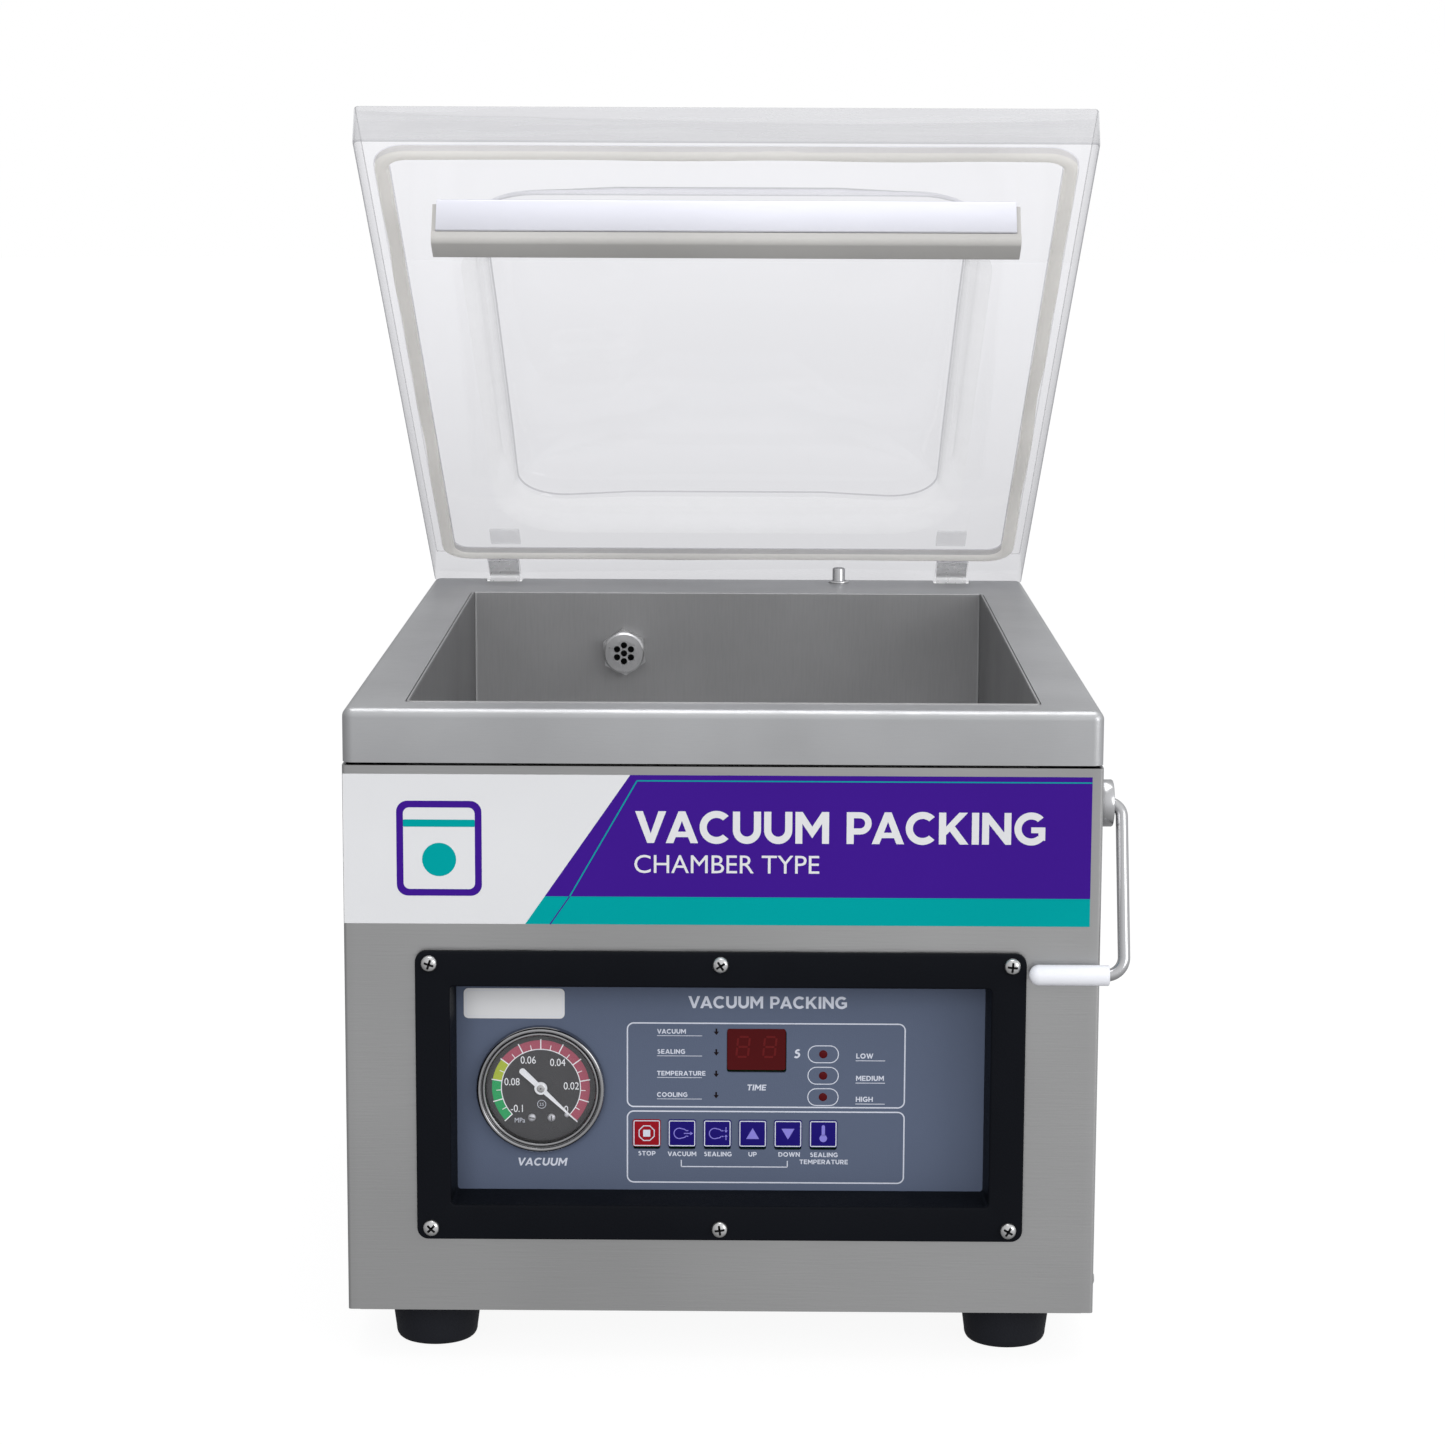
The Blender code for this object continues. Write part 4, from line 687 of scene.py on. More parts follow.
def feet():
    """Rubber feet: a taper with a rounded sole and a dimple for the screw."""
    for row in ("front", "back"):
        for side in ("left", "right"):
            node = f"foot_{row}_{side}"
            low, high = node_box(node)
            middle, top, sole = (low + high) / 2, high.z, low.z
            profile = [(0, top), (19.9, top), (20.6, top - 0.3), (20.9, top - 1.0), (18.6, sole + 4.2)]
            profile += [(18.6 - 2.6 * (1 - cos(a)), sole + 4.0 - 4.0 * sin(a)) for a in (0.3, 0.6, 0.9, 1.2)]
            profile += [(14.2, sole), (7.2, sole), (6.8, sole + 0.6), (6.8, sole + 7.0), (0, sole + 7.0)]
            shape = moved(lathe(profile), shift(middle.x, middle.y, 0))
            made(f"rubber_{node}", shape, "rubber_black", replaces=(node,))


# ---- lid ---------------------------------------------------------------------------------------


def gasket_ring(reach, height, straight):
    """A ring this far out from the gasket's outer outline."""
    half_u, half_v = GASKET_HALF
    return ring(half_u + reach, half_v + reach, 15 + reach, height, GASKET_MIDDLE, 10, straight)


def lid():
    """The moulded plate: pillow dome with a rolled mouth, gasket groove, strap pockets and sawn edges."""
    thick = LID_THICK
    dome, half_u, half_v = (0, 239.5), 115.0, 147.0
    steps, straight = 10, 10
    rings = []

    def dome_ring(reach, height, dip=0.0, back=0.0, base=0.0):
        """A ring this far out from the dome's outline, lower at its corners and drawn out at its back."""
        radius = max(28 + reach * 0.75, 14)
        points = []
        for x, y, z in ring(half_u + reach, half_v + reach, radius, height, dome, steps, straight):
            corner = min(abs(x) / (half_u + reach), abs(y - dome[1]) / (half_v + reach))
            behind = max((y - dome[1]) / (half_v + reach), 0) ** 4
            lower = 1 - dip * max((corner - 0.55) / 0.45, 0) ** 0.5
            points.append((x, y + back * behind, base + (z - base) * lower))
        rings.append(points)

    for share in (0.84, 0.72, 0.60):
        dome_ring(-half_u * share, 30.0 + 1.0 * share)
    under_curve = [(-54, 29.8), (-44, 29.1), (-35, 27.9), (-27, 26.2), (-20, 24.0), (-14.5, 21.6), (-10, 18.9)]
    for reach, height in under_curve:
        dome_ring(reach, height)
    dome_ring(-6.4, 16.0, 0.1)
    dome_ring(-3.8, 13.4, 0.18)
    crease = len(rings)
    dome_ring(-2.2, 11.6, 0.24)
    dome_ring(-1.5, 11.0, 0.26)
    for angle in quarter(8):
        dome_ring(-1.5 + 13 * (1 - cos(angle)), 10.8 * (1 - sin(angle)), 0.26, 16 * (1 - cos(angle)))
    for reach, height in ((-6.6, 0), (-6.6, 3.5), (0.5, 3.5), (0.5, 0)):
        rings.append(gasket_ring(reach, height, straight))
    edge = len(rings)
    for inset, height in ((0.7, 0), (0.2, 0.2), (0, 0.7), (0, thick - 0.7), (0.2, thick - 0.2), (0.7, thick)):
        rings.append(ring(HALF - inset, LENGTH / 2 - inset, 2.0, height, (0, LENGTH / 2), steps, straight))
    for angle in quarter(7):
        dome_ring(7.0 + 12 * (1 - sin(angle)), thick + 7 * (1 - cos(angle)))
    top_curve = [(5.0, 9.4), (2.0, 11.6), (-3, 13.8), (-10, 15.9)]
    top_curve += [(-19, 17.6), (-30, 18.9), (-42, 19.7), (-54, 20.1)]
    for reach, height in top_curve:
        dome_ring(reach, thick + height, 0.25, base=thick)
    for share in (0.60, 0.72, 0.84):
        dome_ring(-half_u * share, thick + 20.0 + 1.0 * share)
    shape = loft(rings)
    shape.verts.ensure_lookup_table()
    count = len(rings[0])
    # Faces at the crease and along the underside's bevel take the darker tint, which paints dark lines.
    looks = {crease: 2, edge: 2, edge + 1: 2, edge + 2: 1, edge + 3: 1, edge + 4: 1}
    # The rolled lip's faces take the whiter tint, a painted highlight band.
    looks.update({number: 3 for number in range(crease + 3, crease + 10)})
    for face in shape.faces:
        numbers = {vert.index // count for vert in face.verts}
        plain_side = min(numbers) >= edge and (abs(face.normal.x) > 0.7 or face.normal.y > 0.7)
        if len(numbers) == 2 and not plain_side:
            face.material_index = looks.get(min(numbers), 0)
    plate = made("lid_plate", shape, "acrylic", "lid", 28, replaces=("lid",))
    for look in ("acrylic_edge", "acrylic_painted_dark_line", "acrylic_lip_painted_highlight"):
        plate.data.materials.append(M[look])
    for side in (-1, 1):
        x = side * STRAP_X
        pocket = block((x - 8.9, LENGTH - 27.8, -5), (x + 8.9, LENGTH - 8.0, 2.0), 0)
        cut(plate, moved(pocket, LID))


def gasket():
    """A silicone seal pressed into its groove, a little wavy along its length."""
    width, reach = 6.0, 1.6
    section = [(0.0, 3.3), (0.0, 0.0), (0.4, -0.9), (1.4, -1.4), (width / 2, -reach)]
    section += [(width - u, v) for u, v in section[:-1][::-1]]
    rings = []
    for inset, height in section:
        wavy = []
        for x, y, z in gasket_ring(-inset, height, 30):
            wave = noise.noise(Vector((x, y, 0)) / 55) * 1.3 * (1 if height < 1 else 0.3)
            outward = Vector((x / GASKET_HALF[0], (y - GASKET_MIDDLE[1]) / GASKET_HALF[1])).normalized()
            wavy.append((x + outward.x * wave, y + outward.y * wave, z))
        rings.append(wavy)
    seal = loft(rings, closed=True)
    made("lid_seal", seal, "gasket", "lid", 60, replaces=("lid_gasket",))


def pressure_bar():
    """Aluminium channel with folded lips and the silicone bar that it holds."""
    middle, half, wall = 59.0, 9.0, 1.6
    top, bottom = -0.3, -16.8
    channel = arc((middle + half - 1, top - 1), 1, 0, 90, 4)
    channel += arc((middle - half + 1, top - 1), 1, 90, 180, 4)
    channel += [(middle - half, bottom + 0.4), (middle - half + 0.4, bottom), (middle - half + wall, bottom)]
    channel += [(middle - half + wall, top - wall), (middle + half - wall, top - wall)]
    channel += [(middle + half - wall, bottom), (middle + half - 0.4, bottom), (middle + half, bottom + 0.4)]
    shape = moved(prism([channel], 266, SIDE), shift(-133, 0, 0))
    replaced = ("pressure_bar_channel",)
    made("pressure_channel", shape, "aluminium", "lid", 30, replaces=replaced)
    root, head, face = half - wall - 0.3, half - 0.6, -22.3
    bar_outline = [(middle + root, top - wall - 0.3), (middle - root, top - wall - 0.3)]
    bar_outline += [(middle - root, bottom - 0.3), (middle - head, bottom - 0.3)]
    bar_outline += arc((middle - head + 2.8, face + 2.8), 2.8, 180, 270, 8)
    bar_outline += arc((middle + head - 2.8, face + 2.8), 2.8, 270, 360, 8)
    bar_outline += [(middle + head, bottom - 0.3), (middle + root, bottom - 0.3)]
    shape = moved(prism([bar_outline], 270, SIDE), shift(-135, 0, 0))
    replaced = ("pressure_bar_rubber",)
    made("pressure_silicone", shape, "bar_silicone", "lid", 40, replaces=replaced)


def hinges():
    """Bright straps curled round the shaft, each with a clear backing pad on top of the lid."""
    axis_y, axis_z = (HINGE.y - ORIGIN.y) * 1000, (HINGE.z - ORIGIN.z) * 1000 - LID_GAP
    thick, level = 1.8, 0.8
    curl, bend = 3.3 + thick / 2, 5.0
    line = [(LENGTH - 27.5, level), (axis_y - 15, level)]
    line += arc((axis_y - curl - bend, level - bend), bend, 90, 0, 12)
    line += arc((axis_y, axis_z), curl, 180, 455, 36)
    for side, name in ((-1, "left"), (1, "right")):
        x = side * STRAP_X
        strap = moved(prism([ribbon(line, thick)], 16.8, SIDE), shift(x - 8.4, 0, 0))
        replaced = (f"hinge_strap_{name}",)
        made(f"strap_{name}", strap, "satin_steel", "lid", 40, replaces=replaced)
        plate = block((x - 8.4, LENGTH - 27.5, LID_THICK + 0.05), (x + 8.4, LENGTH - 9.5, 20.2), 0.5)
        made(f"strap_plate_{name}", plate, "acrylic_pad", "lid", 35)


def springs():
    """The lid springs, drawn at one length; the real ones shorten as the lid closes. Both ends are wound
    closed.
    """
    keep, wire, turns, per_turn, flat = 0.70, 0.9, 7, 20, 0.12
    for name in ("left", "right"):
        node = f"lid_spring_{name}"
        low, high = node_box(node)
        middle = (low + high) / 2
        radius, height, end_coil = (high.x - low.x) / 2 - wire, high.z - low.z, 1.3
        points = []
        for i in range(turns * per_turn + 1):
            share = i / (turns * per_turn)
            climb = min(max((share - flat) / (1 - 2 * flat), 0), 1) * (height - 2 * wire - 2 * end_coil)
            closed = end_coil * (min(share / flat, 1) + max((share - 1 + flat) / flat, 0))
            angle = 2 * pi * turns * share
            x, y = middle.x + radius * cos(angle), middle.y + radius * sin(angle)
            points.append((x, y, low.z + wire + climb + closed))
        spring = made(f"spring_{name}", tube(points, wire, 2), "spring_steel", replaces=(node,))
        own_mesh(spring)


# ---- chamber fittings --------------------------------------------------------------------------


def suction_port():
    """A hexagon behind a chamfered disc with seven holes, and a black disc behind the holes that paints the
    shadow inside the port.
    """
    face, x, z = node_box("suction_port")[0].y, -56.5, -32.0
    wall = node_box("chamber_tub")[1].y - SHEET
    holes = [circle(1.8, sides=20)]
    holes += [circle(1.8, (4.4 * cos(a), 4.4 * sin(a)), 20) for a in (pi / 2 + k * pi / 3 for k in range(6))]
    disc = [(7.0, 2.6), (10.8, 2.6), (11.2, 2.2), (11.2, 1.2), (10.3, 0.25), (7.0, 0.0)]
    rim = moved(lathe([(r, 2.6 - h) for r, h in [*disc, (7.0, 2.6)]]), FRONT)
    plate = prism([circle(7.02, sides=64), *holes], 2.6)
    hexagon = prism([turn(circle(12.7, sides=6), radians(95)), circle(7.0)], wall - face - 3.2)
    # A black disc seen through the holes: painted shadow inside the port.
    dark = prism([circle(7.0)], 0.5)
    reach = wall + 40 - LENGTH
    stub = [(6.0, 0), (6.0, reach), (4.2, reach), (4.2, 0), (6.0, 0)]
    parts = [
        (moved(rim, shift(x, face + 2.6, z)), "machined_steel"),
        (moved(plate, shift(x, face + 2.6, z)), "machined_steel"),
        (moved(hexagon, shift(x, wall - 0.3, z)), "machined_steel"),
        (moved(dark, shift(x, wall - 0.4, z)), "gauge_black"),
        (moved(lathe(stub), shift(x, wall - 0.2, z), FRONT), "machined_steel"),
    ]
    replaced = ("suction_port",)
    made("suction_fitting", parts, "machined_steel", smooth=30, replaces=replaced)


def lid_switch():
    """The pin that the lid presses, in its bush, with the microswitch under it."""
    x, y = SWITCH
    bush = [(3.9, 1.2), (5.0, 1.2), (5.6, 1.0), (5.8, 0.6), (5.8, 0.3), (4.6, 0.3), (4.6, -14), (3.9, -14)]
    bush.append(bush[0])
    shape = moved(lathe(bush, 40), shift(x, y, 0))
    made("switch_bush", shape, "machined_steel", replaces=("lid_switch_bush",))
    pin = [(0, 8.3), (2.8, 8.3), (3.3, 8.0), (3.5, 7.4), (3.5, -16), (0, -16)]
    shape = moved(lathe(pin, 40), shift(x, y, 0))
    replaced = ("lid_switch_pin",)
    made("switch_pin", shape, "polished_steel", "lid_switch", replaces=replaced)
    body = block((x - 10, y - 8, -46), (x + 6, y + 8, -26), 0.8)
    made("microswitch", body, "plastic_black")


# ---- control panel -----------------------------------------------------------------------------

PLATE = 18.3  # the overlay's face
BEZEL_FACE = -3.3
LAMP_ROWS = (-158.9, -168.8, -178.7)


def bezel():
    """The black frame with its deep recess, edges rounded over."""
    half_u, half_v, hole_u, hole_v, back = 135.0, 65.75, 119.6, 49.8, 18.0
    rings = []
    for angle in quarter(5):
        inset = 1.0 * (1 - sin(angle))
        rings.append(ring(half_u - inset, half_v - inset, 5.0 - inset, -BEZEL_FACE - 1.0 * (1 - cos(angle))))
    rings.append(ring(half_u, half_v, 5.0, 0.3))
    for height in (0.3, -back):
        rings.append(ring(hole_u + 1.8, hole_v + 1.8, 3.0, height))
    rings.append(ring(hole_u - 1.2, hole_v - 1.2, 1.5, -back))
    for angle in quarter(4):
        grow = 1.2 * (1 - cos(angle))
        rings.append(ring(hole_u + grow, hole_v + grow, 1.8 + grow, -BEZEL_FACE - 1.2 * (1 - sin(angle))))
    shape = moved(loft(rings, closed=True), shift(BEZEL_MIDDLE[0], 0, BEZEL_MIDDLE[1]), FRONT)
    made("bezel", shape, "bezel_black", smooth=40, replaces=("control_bezel",))


def cross_screw(number):
    """A pan head with a cross recess and a thread, each turned by its own angle, and a black floor in the
    recess that paints its shadow.
    """
    node, name = f"bezel_screw_{number}", f"cross_screw_{number}"
    middle = sum(node_box(node), Vector()) / 2
    head = [(0, 2.5), (1.2, 2.42), (2.2, 2.15), (3.0, 1.65), (3.55, 0.95), (3.8, 0.3), (3.7, 0)]
    shape = lathe([*head, (1.8, 0), (1.8, -9), (0, -9)], 48)
    put, depth = shift(middle.x, BEZEL_FACE - 0.3, middle.z), 0.7
    screw = made(name, moved(shape, put, FRONT), "nickel", replaces=(node,))
    tilt = 0.35 + number * 0.9
    arms = [turn(rectangle(0.52, 2.25, 0.3, steps=3), angle) for angle in (tilt, tilt + pi / 2)]
    for arm in arms:
        cut(screw, moved(prism([arm], 4, FLAT), MACHINE, put, FRONT, shift(0, 0, depth)))
    # Black floors at the bottom of the cross: painted shadow in the recess.
    recess_shadows = [moved(prism([arm], INK_DEPTH), shift(0, -depth, 0), put) for arm in arms]
    made(f"{name}_recess", recess_shadows, "gauge_black")


def printed(name, shapes, look, y=PLATE):
    made(name, [moved(shape, shift(0, y, 0)) for shape in shapes], look)


def panel_print():
    """Lines, words and arrows printed on the overlay."""
    white = []

    def write(words, x, z, height, align="LEFT", slant=0.0, width=0):
        white.append(heavy(words, height, (x, z), width, align, slant))

    def draw(outlines):
        white.append(prism(outlines, 0.06))

    write("VACUUM PACKING", 20.5, -135.2, 5.5, "CENTER", width=71)
    for low, high in ((-183.8, -144.6), (-218.9, -185.3)):
        outline = frame_line(62.55, (high - low) / 2, 3.2, (19.95, (low + high) / 2), 0.6)
        draw(outline)
    for words, z in (("VACUUM", -148.7), ("SEALING", -158.0), ("TEMPERATURE", -168.0), ("COOLING", -177.9)):
        write(words, -29.0, z, 2.1)
        draw([bar((-29.0, z - 2.0), (-8.8, z - 2.0), 0.25)])
    for words, z in (("LOW", -159.6), ("MEDIUM", -169.9), ("HIGH", -179.6)):
        write(words, 60.4, z, 2.3)
        draw([bar((60.2, z - 2.2), (73.4, z - 2.2), 0.3)])
    write("S", 33.5, -158.7, 4.2, "CENTER", 0.2)
    write("TIME", 15.6, -174.4, 2.7, "CENTER", 0.15)
    write("VACUUM", -81.0, -209.4, 3.6, "CENTER", 0.18)
    for words, x, z in (
        ("STOP", -33.6, -205.2),
        ("VACUUM", -17.7, -205.4),
        ("SEALING", -1.6, -205.4),
        ("UP", 14.1, -205.4),
        ("DOWN", 30.6, -205.4),
        ("SEALING", 46.2, -205.5),
        ("TEMPERATURE", 46.2, -208.8),
    ):
        write(words, x, z, 2.1, "CENTER")
    bracket = [(-18.0, -208.2), (-18.0, -211.3), (29.8, -211.3), (29.8, -208.4)]
    for start, end in zip(bracket, bracket[1:]):
        draw([bar(start, end, 0.45)])
    for z in LAMP_ROWS:
        draw(frame_line(7.0, 4.1, 4.0, (45.6, z), 0.4))
    printed("panel_print", white, "print_white")
    lamps = []
    for z in LAMP_ROWS:
        dome = [(0, 0.4), (1.0, 0.35), (1.6, 0.2), (1.9, 0.0), (0, 0.0)]
        lamps.append(moved(lathe(dome, 28), shift(45.6, 0, z), FRONT))
    printed("panel_lamps", lamps, "lamp_red")
    arrows = []
    for z in (-148.8, -158.3, -168.2, -178.1):
        head = [(-3.6, z + 0.1), (-2.4, z - 1.5), (-1.2, z + 0.1)]
        arrows.append(prism([head], 0.06))
        arrows.append(prism([bar((-2.4, z + 1.5), (-2.4, z), 0.8)], 0.07))
    printed("panel_arrows", arrows, "print_dark")


def sticker():
    """A blank pale label above the gauge."""
    plate = prism([rectangle(22.6, 6.9, 2.2, (-93.0, -136.2))], 0.25)
    printed("panel_sticker", [plate], "label_grey")
    line = prism(frame_line(21.6, 5.9, 1.6, (-93.0, -136.2), 0.15), 0.04)
    printed("panel_sticker_line", [line], "print_white", PLATE - 0.25)


def display():
    """A dark red window with two unlit digits behind its face."""
    x, z = 15.6, -156.8
    window = prism([rectangle(13.1, 9.45, 1.0, (x, z), 5)], 3.0)
    shape = moved(window, shift(0, PLATE + 2.8, 0))
    made("display", shape, "display_red", replaces=("display_window",))
    digits = []
    z += 1.2
    for middle in (x - 6.0, x + 6.0):
        for side in (-1, 1):
            for level in (-1, 1):
                upright = bar((side * 2.6, level * 0.5), (side * 2.6, level * 4.0), 0.9)
                digits.append(prism([[(middle + u + v * 0.1, z + v) for u, v in upright]], 0.04))
        for level in (-4.6, 0.0, 4.6):
            across = bar((middle - 2.0 + level * 0.1, z + level), (middle + 2.0 + level * 0.1, z + level), 0.9)
            digits.append(prism([across], 0.04))
    printed("display_digits", digits, "segment_red", PLATE - 0.2)


def key_icons():
    """What is printed on each key, drawn about the key's middle."""
    loop = [(1.8, -1.2), (1.2, -1.9), *arc((-1.2, 0.0), 2.4, -65, -295, 18), (1.2, 1.9), (1.8, 1.2)]
    lips = [bar((1.7, level), (2.8, level), 0.42) for level in (-1.3, 1.3)]
    bag = [[ribbon(loop, 0.42)], *([lip] for lip in lips)]
    arrow = [(5.0, 0.0), (3.7, -0.8), (3.7, 0.8)]
    down = [(3.9, 0.4), (3.2, 1.5), (4.6, 1.5)]
    up = [(3.9, -0.4), (3.2, -1.5), (4.6, -1.5)]
    stems = [[bar((3.9, side * 1.4), (3.9, side * 3.0), 0.4)] for side in (1, -1)]
    stop = [*(turn(circle(radius, sides=8), pi / 8) for radius in (3.9, 3.45)), rectangle(1.6, 1.6, 0.3)]
    bulb = circle(1.7, (0, -2.0), 24)
    stem = [(-0.75, -0.6), (0.75, -0.6), (0.75, 3.4), *arc((0, 3.4), 0.75, 0, 180, 8), (-0.75, 3.4)]
    return {
        "stop": [stop],
        "vacuum": [*bag, [bar((0.8, 0), (3.8, 0), 0.42)], [arrow]],
        "sealing": [*bag, [down], [up], *stems],
        "up": [[[(-2.9, -2.4), (2.9, -2.4), (0, 2.6)]]],
        "down": [[[(-2.9, 2.4), (0, -2.6), (2.9, 2.4)]]],
        "temperature": [[bulb], [stem]],
    }


def keys():
    """Square membrane caps with a pale border and an icon."""
    for name, groups in key_icons().items():
        node = f"key_{name}"
        low, high = node_box(node)
        middle, face = (low + high) / 2, low.y
        look = "key_red" if name == "stop" else "key_blue"
        rings = []
        half = 6.3
        for angle in quarter(3):
            inset = 0.35 * (1 - sin(angle))
            rings.append(ring(half - inset, half - inset, 1.0 - inset * 0.5, -0.35 * (1 - cos(angle)), steps=5))
        rings += [ring(half, half, 1.0, -2.2, steps=5), ring(half + 0.4, half + 0.4, 1.0, -2.2, steps=5)]
        rings.append(ring(half + 0.4, half + 0.4, 1.0, -3.2, steps=5))
        put = shift(middle.x, face, middle.z + 1.5)
        border = prism(frame_line(5.95, 5.95, 0.8, (0, 0), 0.42), INK_DEPTH)
        parts = [(moved(loft(rings), put, FRONT), look), (moved(border, put), "print_white")]
        ink = "print_white" if name == "stop" else "print_lilac"
        for outlines in groups:
            parts.append((moved(prism(outlines, INK_DEPTH), put), ink))
        made(f"membrane_{node}", parts, look, node, replaces=(node,))


# ---- gauge -------------------------------------------------------------------------------------

GAUGE = (-81.2, -175.2)
SCALE_START, SCALE_TURN = -43.5, 267.0  # degrees, from the right, counterclockwise


def gauge():
    """Case with a double rim, glass, dial with its scale, and a needle on its spindle."""
    put = shift(GAUGE[0], PLATE, GAUGE[1])
    rim = [
        (24.2, -19.0), (25.7, -19.0), (25.7, -0.3), (29.0, -0.3), (29.0, 2.6), (28.8, 3.6), (28.2, 4.3),
        (27.5, 4.6), (26.9, 4.3), (26.6, 3.6), (26.6, 3.2), (26.2, 3.0), (25.9, 3.3), (25.4, 3.4),
        (25.0, 3.1), (24.9, 2.5), (24.9, -1.2), (24.2, -1.2), (24.2, -19.0),
    ]
    cup = lathe([(0, -22.0), (25.7, -22.0), (25.7, -19.0), (0, -19.0)], 64)
    parts = [moved(lathe(rim, 128), put, FRONT), moved(cup, put, FRONT)]
    made("gauge_housing", parts, "gauge_rim", smooth=50, replaces=("gauge_case",))
    groove = lathe([(26.55, 3.15), (26.25, 2.95), (26.0, 3.2), (26.25, 3.3), (26.55, 3.15)], 96)
    sleeve = lathe([(24.88, 2.4), (24.88, -1.1), (24.5, -1.1), (24.6, 2.4), (24.88, 2.4)], 96)
    made("gauge_seal", [moved(groove, put, FRONT), moved(sleeve, put, FRONT)], "gauge_black")
    glass = lathe([(0, 2.9), (20, 2.85), (24.85, 2.6), (24.85, 1.7), (20, 1.95), (0, 2.0)], 96)
    glass = moved(glass, put, FRONT)
    made("gauge_window", glass, "gauge_glass", smooth=60, replaces=("gauge_lens",))
    dial = prism([circle(24.45, sides=96), circle(1.2, sides=24)], 0.8)
    dial = moved(dial, shift(GAUGE[0], DIAL_FACE + 0.8, GAUGE[1]))
    made("gauge_face", dial, "dial_grey", replaces=("gauge_dial",))
    gauge_print()
    needle()


DIAL_FACE = PLATE + 0.4


def gauge_print():
    """The scale's bands, ticks, numbers and studs, with painted slot shadows on the studs."""

    def angle(value):
        """Degrees from the right for a share of the scale."""
        return SCALE_START + SCALE_TURN * value

    def band(start, end, inner, outer, steps):
        outside = arc((0, 0), outer, angle(start), angle(end), steps)
        inside = arc((0, 0), inner, angle(end), angle(start), steps)
        return moved(prism([outside + inside], 0.04), shift(GAUGE[0], DIAL_FACE, GAUGE[1]))

    parts = [
        (band(0.0, 0.7, 18.0, 22.0, 60), "dial_red"),
        (band(0.7, 0.8, 18.0, 22.0, 12), "dial_lime"),
        (band(0.8, 1.0, 18.0, 22.0, 20), "dial_green"),
        (band(0.0, 1.0, 17.6, 18.0, 90), "needle_white"),
    ]

    def mark(value, inner, outer, width):
        a = radians(angle(value))
        line = bar((inner * cos(a), inner * sin(a)), (outer * cos(a), outer * sin(a)), width)
        return moved(prism([line], 0.07), shift(GAUGE[0], DIAL_FACE, GAUGE[1]))

    for tick in range(21):
        value = tick / 20
        outer, width = (22.5, 0.5) if tick % 2 == 0 else (20.1, 0.35)
        parts.append((mark(value, 17.7, outer, width), "needle_white"))
    numbers = {
        "0": (-41.0, 15.0),
        "0.02": (4.4, 13.7),
        "0.04": (57.5, 14.1),
        "0.06": (113.6, 14.1),
        "0.08": (167.7, 13.3),
        "-0.1": (222.0, 14.2),
    }
    for words, (direction, reach) in numbers.items():
        a = radians(direction)
        place = (GAUGE[0] + reach * cos(a), GAUGE[1] + reach * sin(a))
        parts.append((moved(lettering(words, 3.5, place, wide=0.85), shift(0, DIAL_FACE, 0)), "needle_white"))
    grade = (GAUGE[0] + 0.3, GAUGE[1] - 7.6)
    badge = prism([circle(2.0, grade), circle(1.75, grade)], INK_DEPTH)
    parts.append((moved(badge, shift(0, DIAL_FACE, 0)), "print_white"))
    parts.append((moved(lettering("2.5", 1.4, grade, wide=0.85), shift(0, DIAL_FACE, 0)), "print_white"))
    unit = lettering("MPa", 2.3, (GAUGE[0] - 9.6, GAUGE[1] - 15.0), wide=0.9)
    parts.append((moved(unit, shift(0, DIAL_FACE, 0)), "print_white"))
    made("gauge_scale", parts, "print_white")
    studs = []
    for u, v, radius in ((-4.1, -13.8, 1.8), (4.7, -13.8, 1.8), (11.6, -12.4, 1.2)):
        head = [(0, 0.9), (radius * 0.5, 0.85), (radius * 0.85, 0.6), (radius, 0.2), (radius, 0), (0, 0)]
        studs.append(moved(lathe(head, 24), shift(GAUGE[0] + u, DIAL_FACE, GAUGE[1] + v), FRONT))
    made("gauge_studs", studs, "aluminium")
    # Black lines on the stud heads, with no groove cut: painted shadow of their slots.
    slot_shadows = []
    for u in (-4.1, 4.7):
        slit = prism([turn(bar((-1.2, 0), (1.2, 0), 0.4), 0.7 + u * 0.2)], INK_DEPTH)
        slot_shadows.append(moved(slit, shift(GAUGE[0] + u, DIAL_FACE - 0.9, GAUGE[1] - 13.8)))
    made("gauge_stud_slot_shadows", slot_shadows, "gauge_black")


def needle():
    """The hand at its rest end, with its hub, boss and spindle."""
    rest = radians(SCALE_START)
    put = shift(GAUGE[0], PLATE - 0.3, GAUGE[1])
    pointer = [(22.6, 0.12), (3.0, 1.0), (-10.5, 1.4), *arc((-11.2, 0), 1.5, 110, 250, 10)]
    pointer += [(-10.5, -1.4), (3.0, -1.0), (22.6, -0.12)]
    hand = moved(prism([turn(pointer, rest)], 0.5), put)
    hub = moved(lathe([(0, 0.9), (2.7, 0.9), (2.9, 0.7), (2.9, 0.0), (0, 0.0)], 40), put, FRONT)
    boss = lathe([(0.35, 1.3), (1.5, 1.3), (1.8, 1.1), (1.8, 0.9), (0.35, 0.9), (0.35, 1.3)], 32)
    spindle = moved(lathe([(0, 1.1), (0.4, 1.1), (0.4, -9), (0, -9)], 16), put, FRONT)
    boss = moved(boss, put, FRONT)
    parts = [(hand, "needle_white"), (hub, "needle_white"), (boss, "nickel"), (spindle, "gauge_black")]
    made("gauge_hand", parts, "needle_white", "needle", replaces=("gauge_needle",))


# ---- front label -------------------------------------------------------------------------------


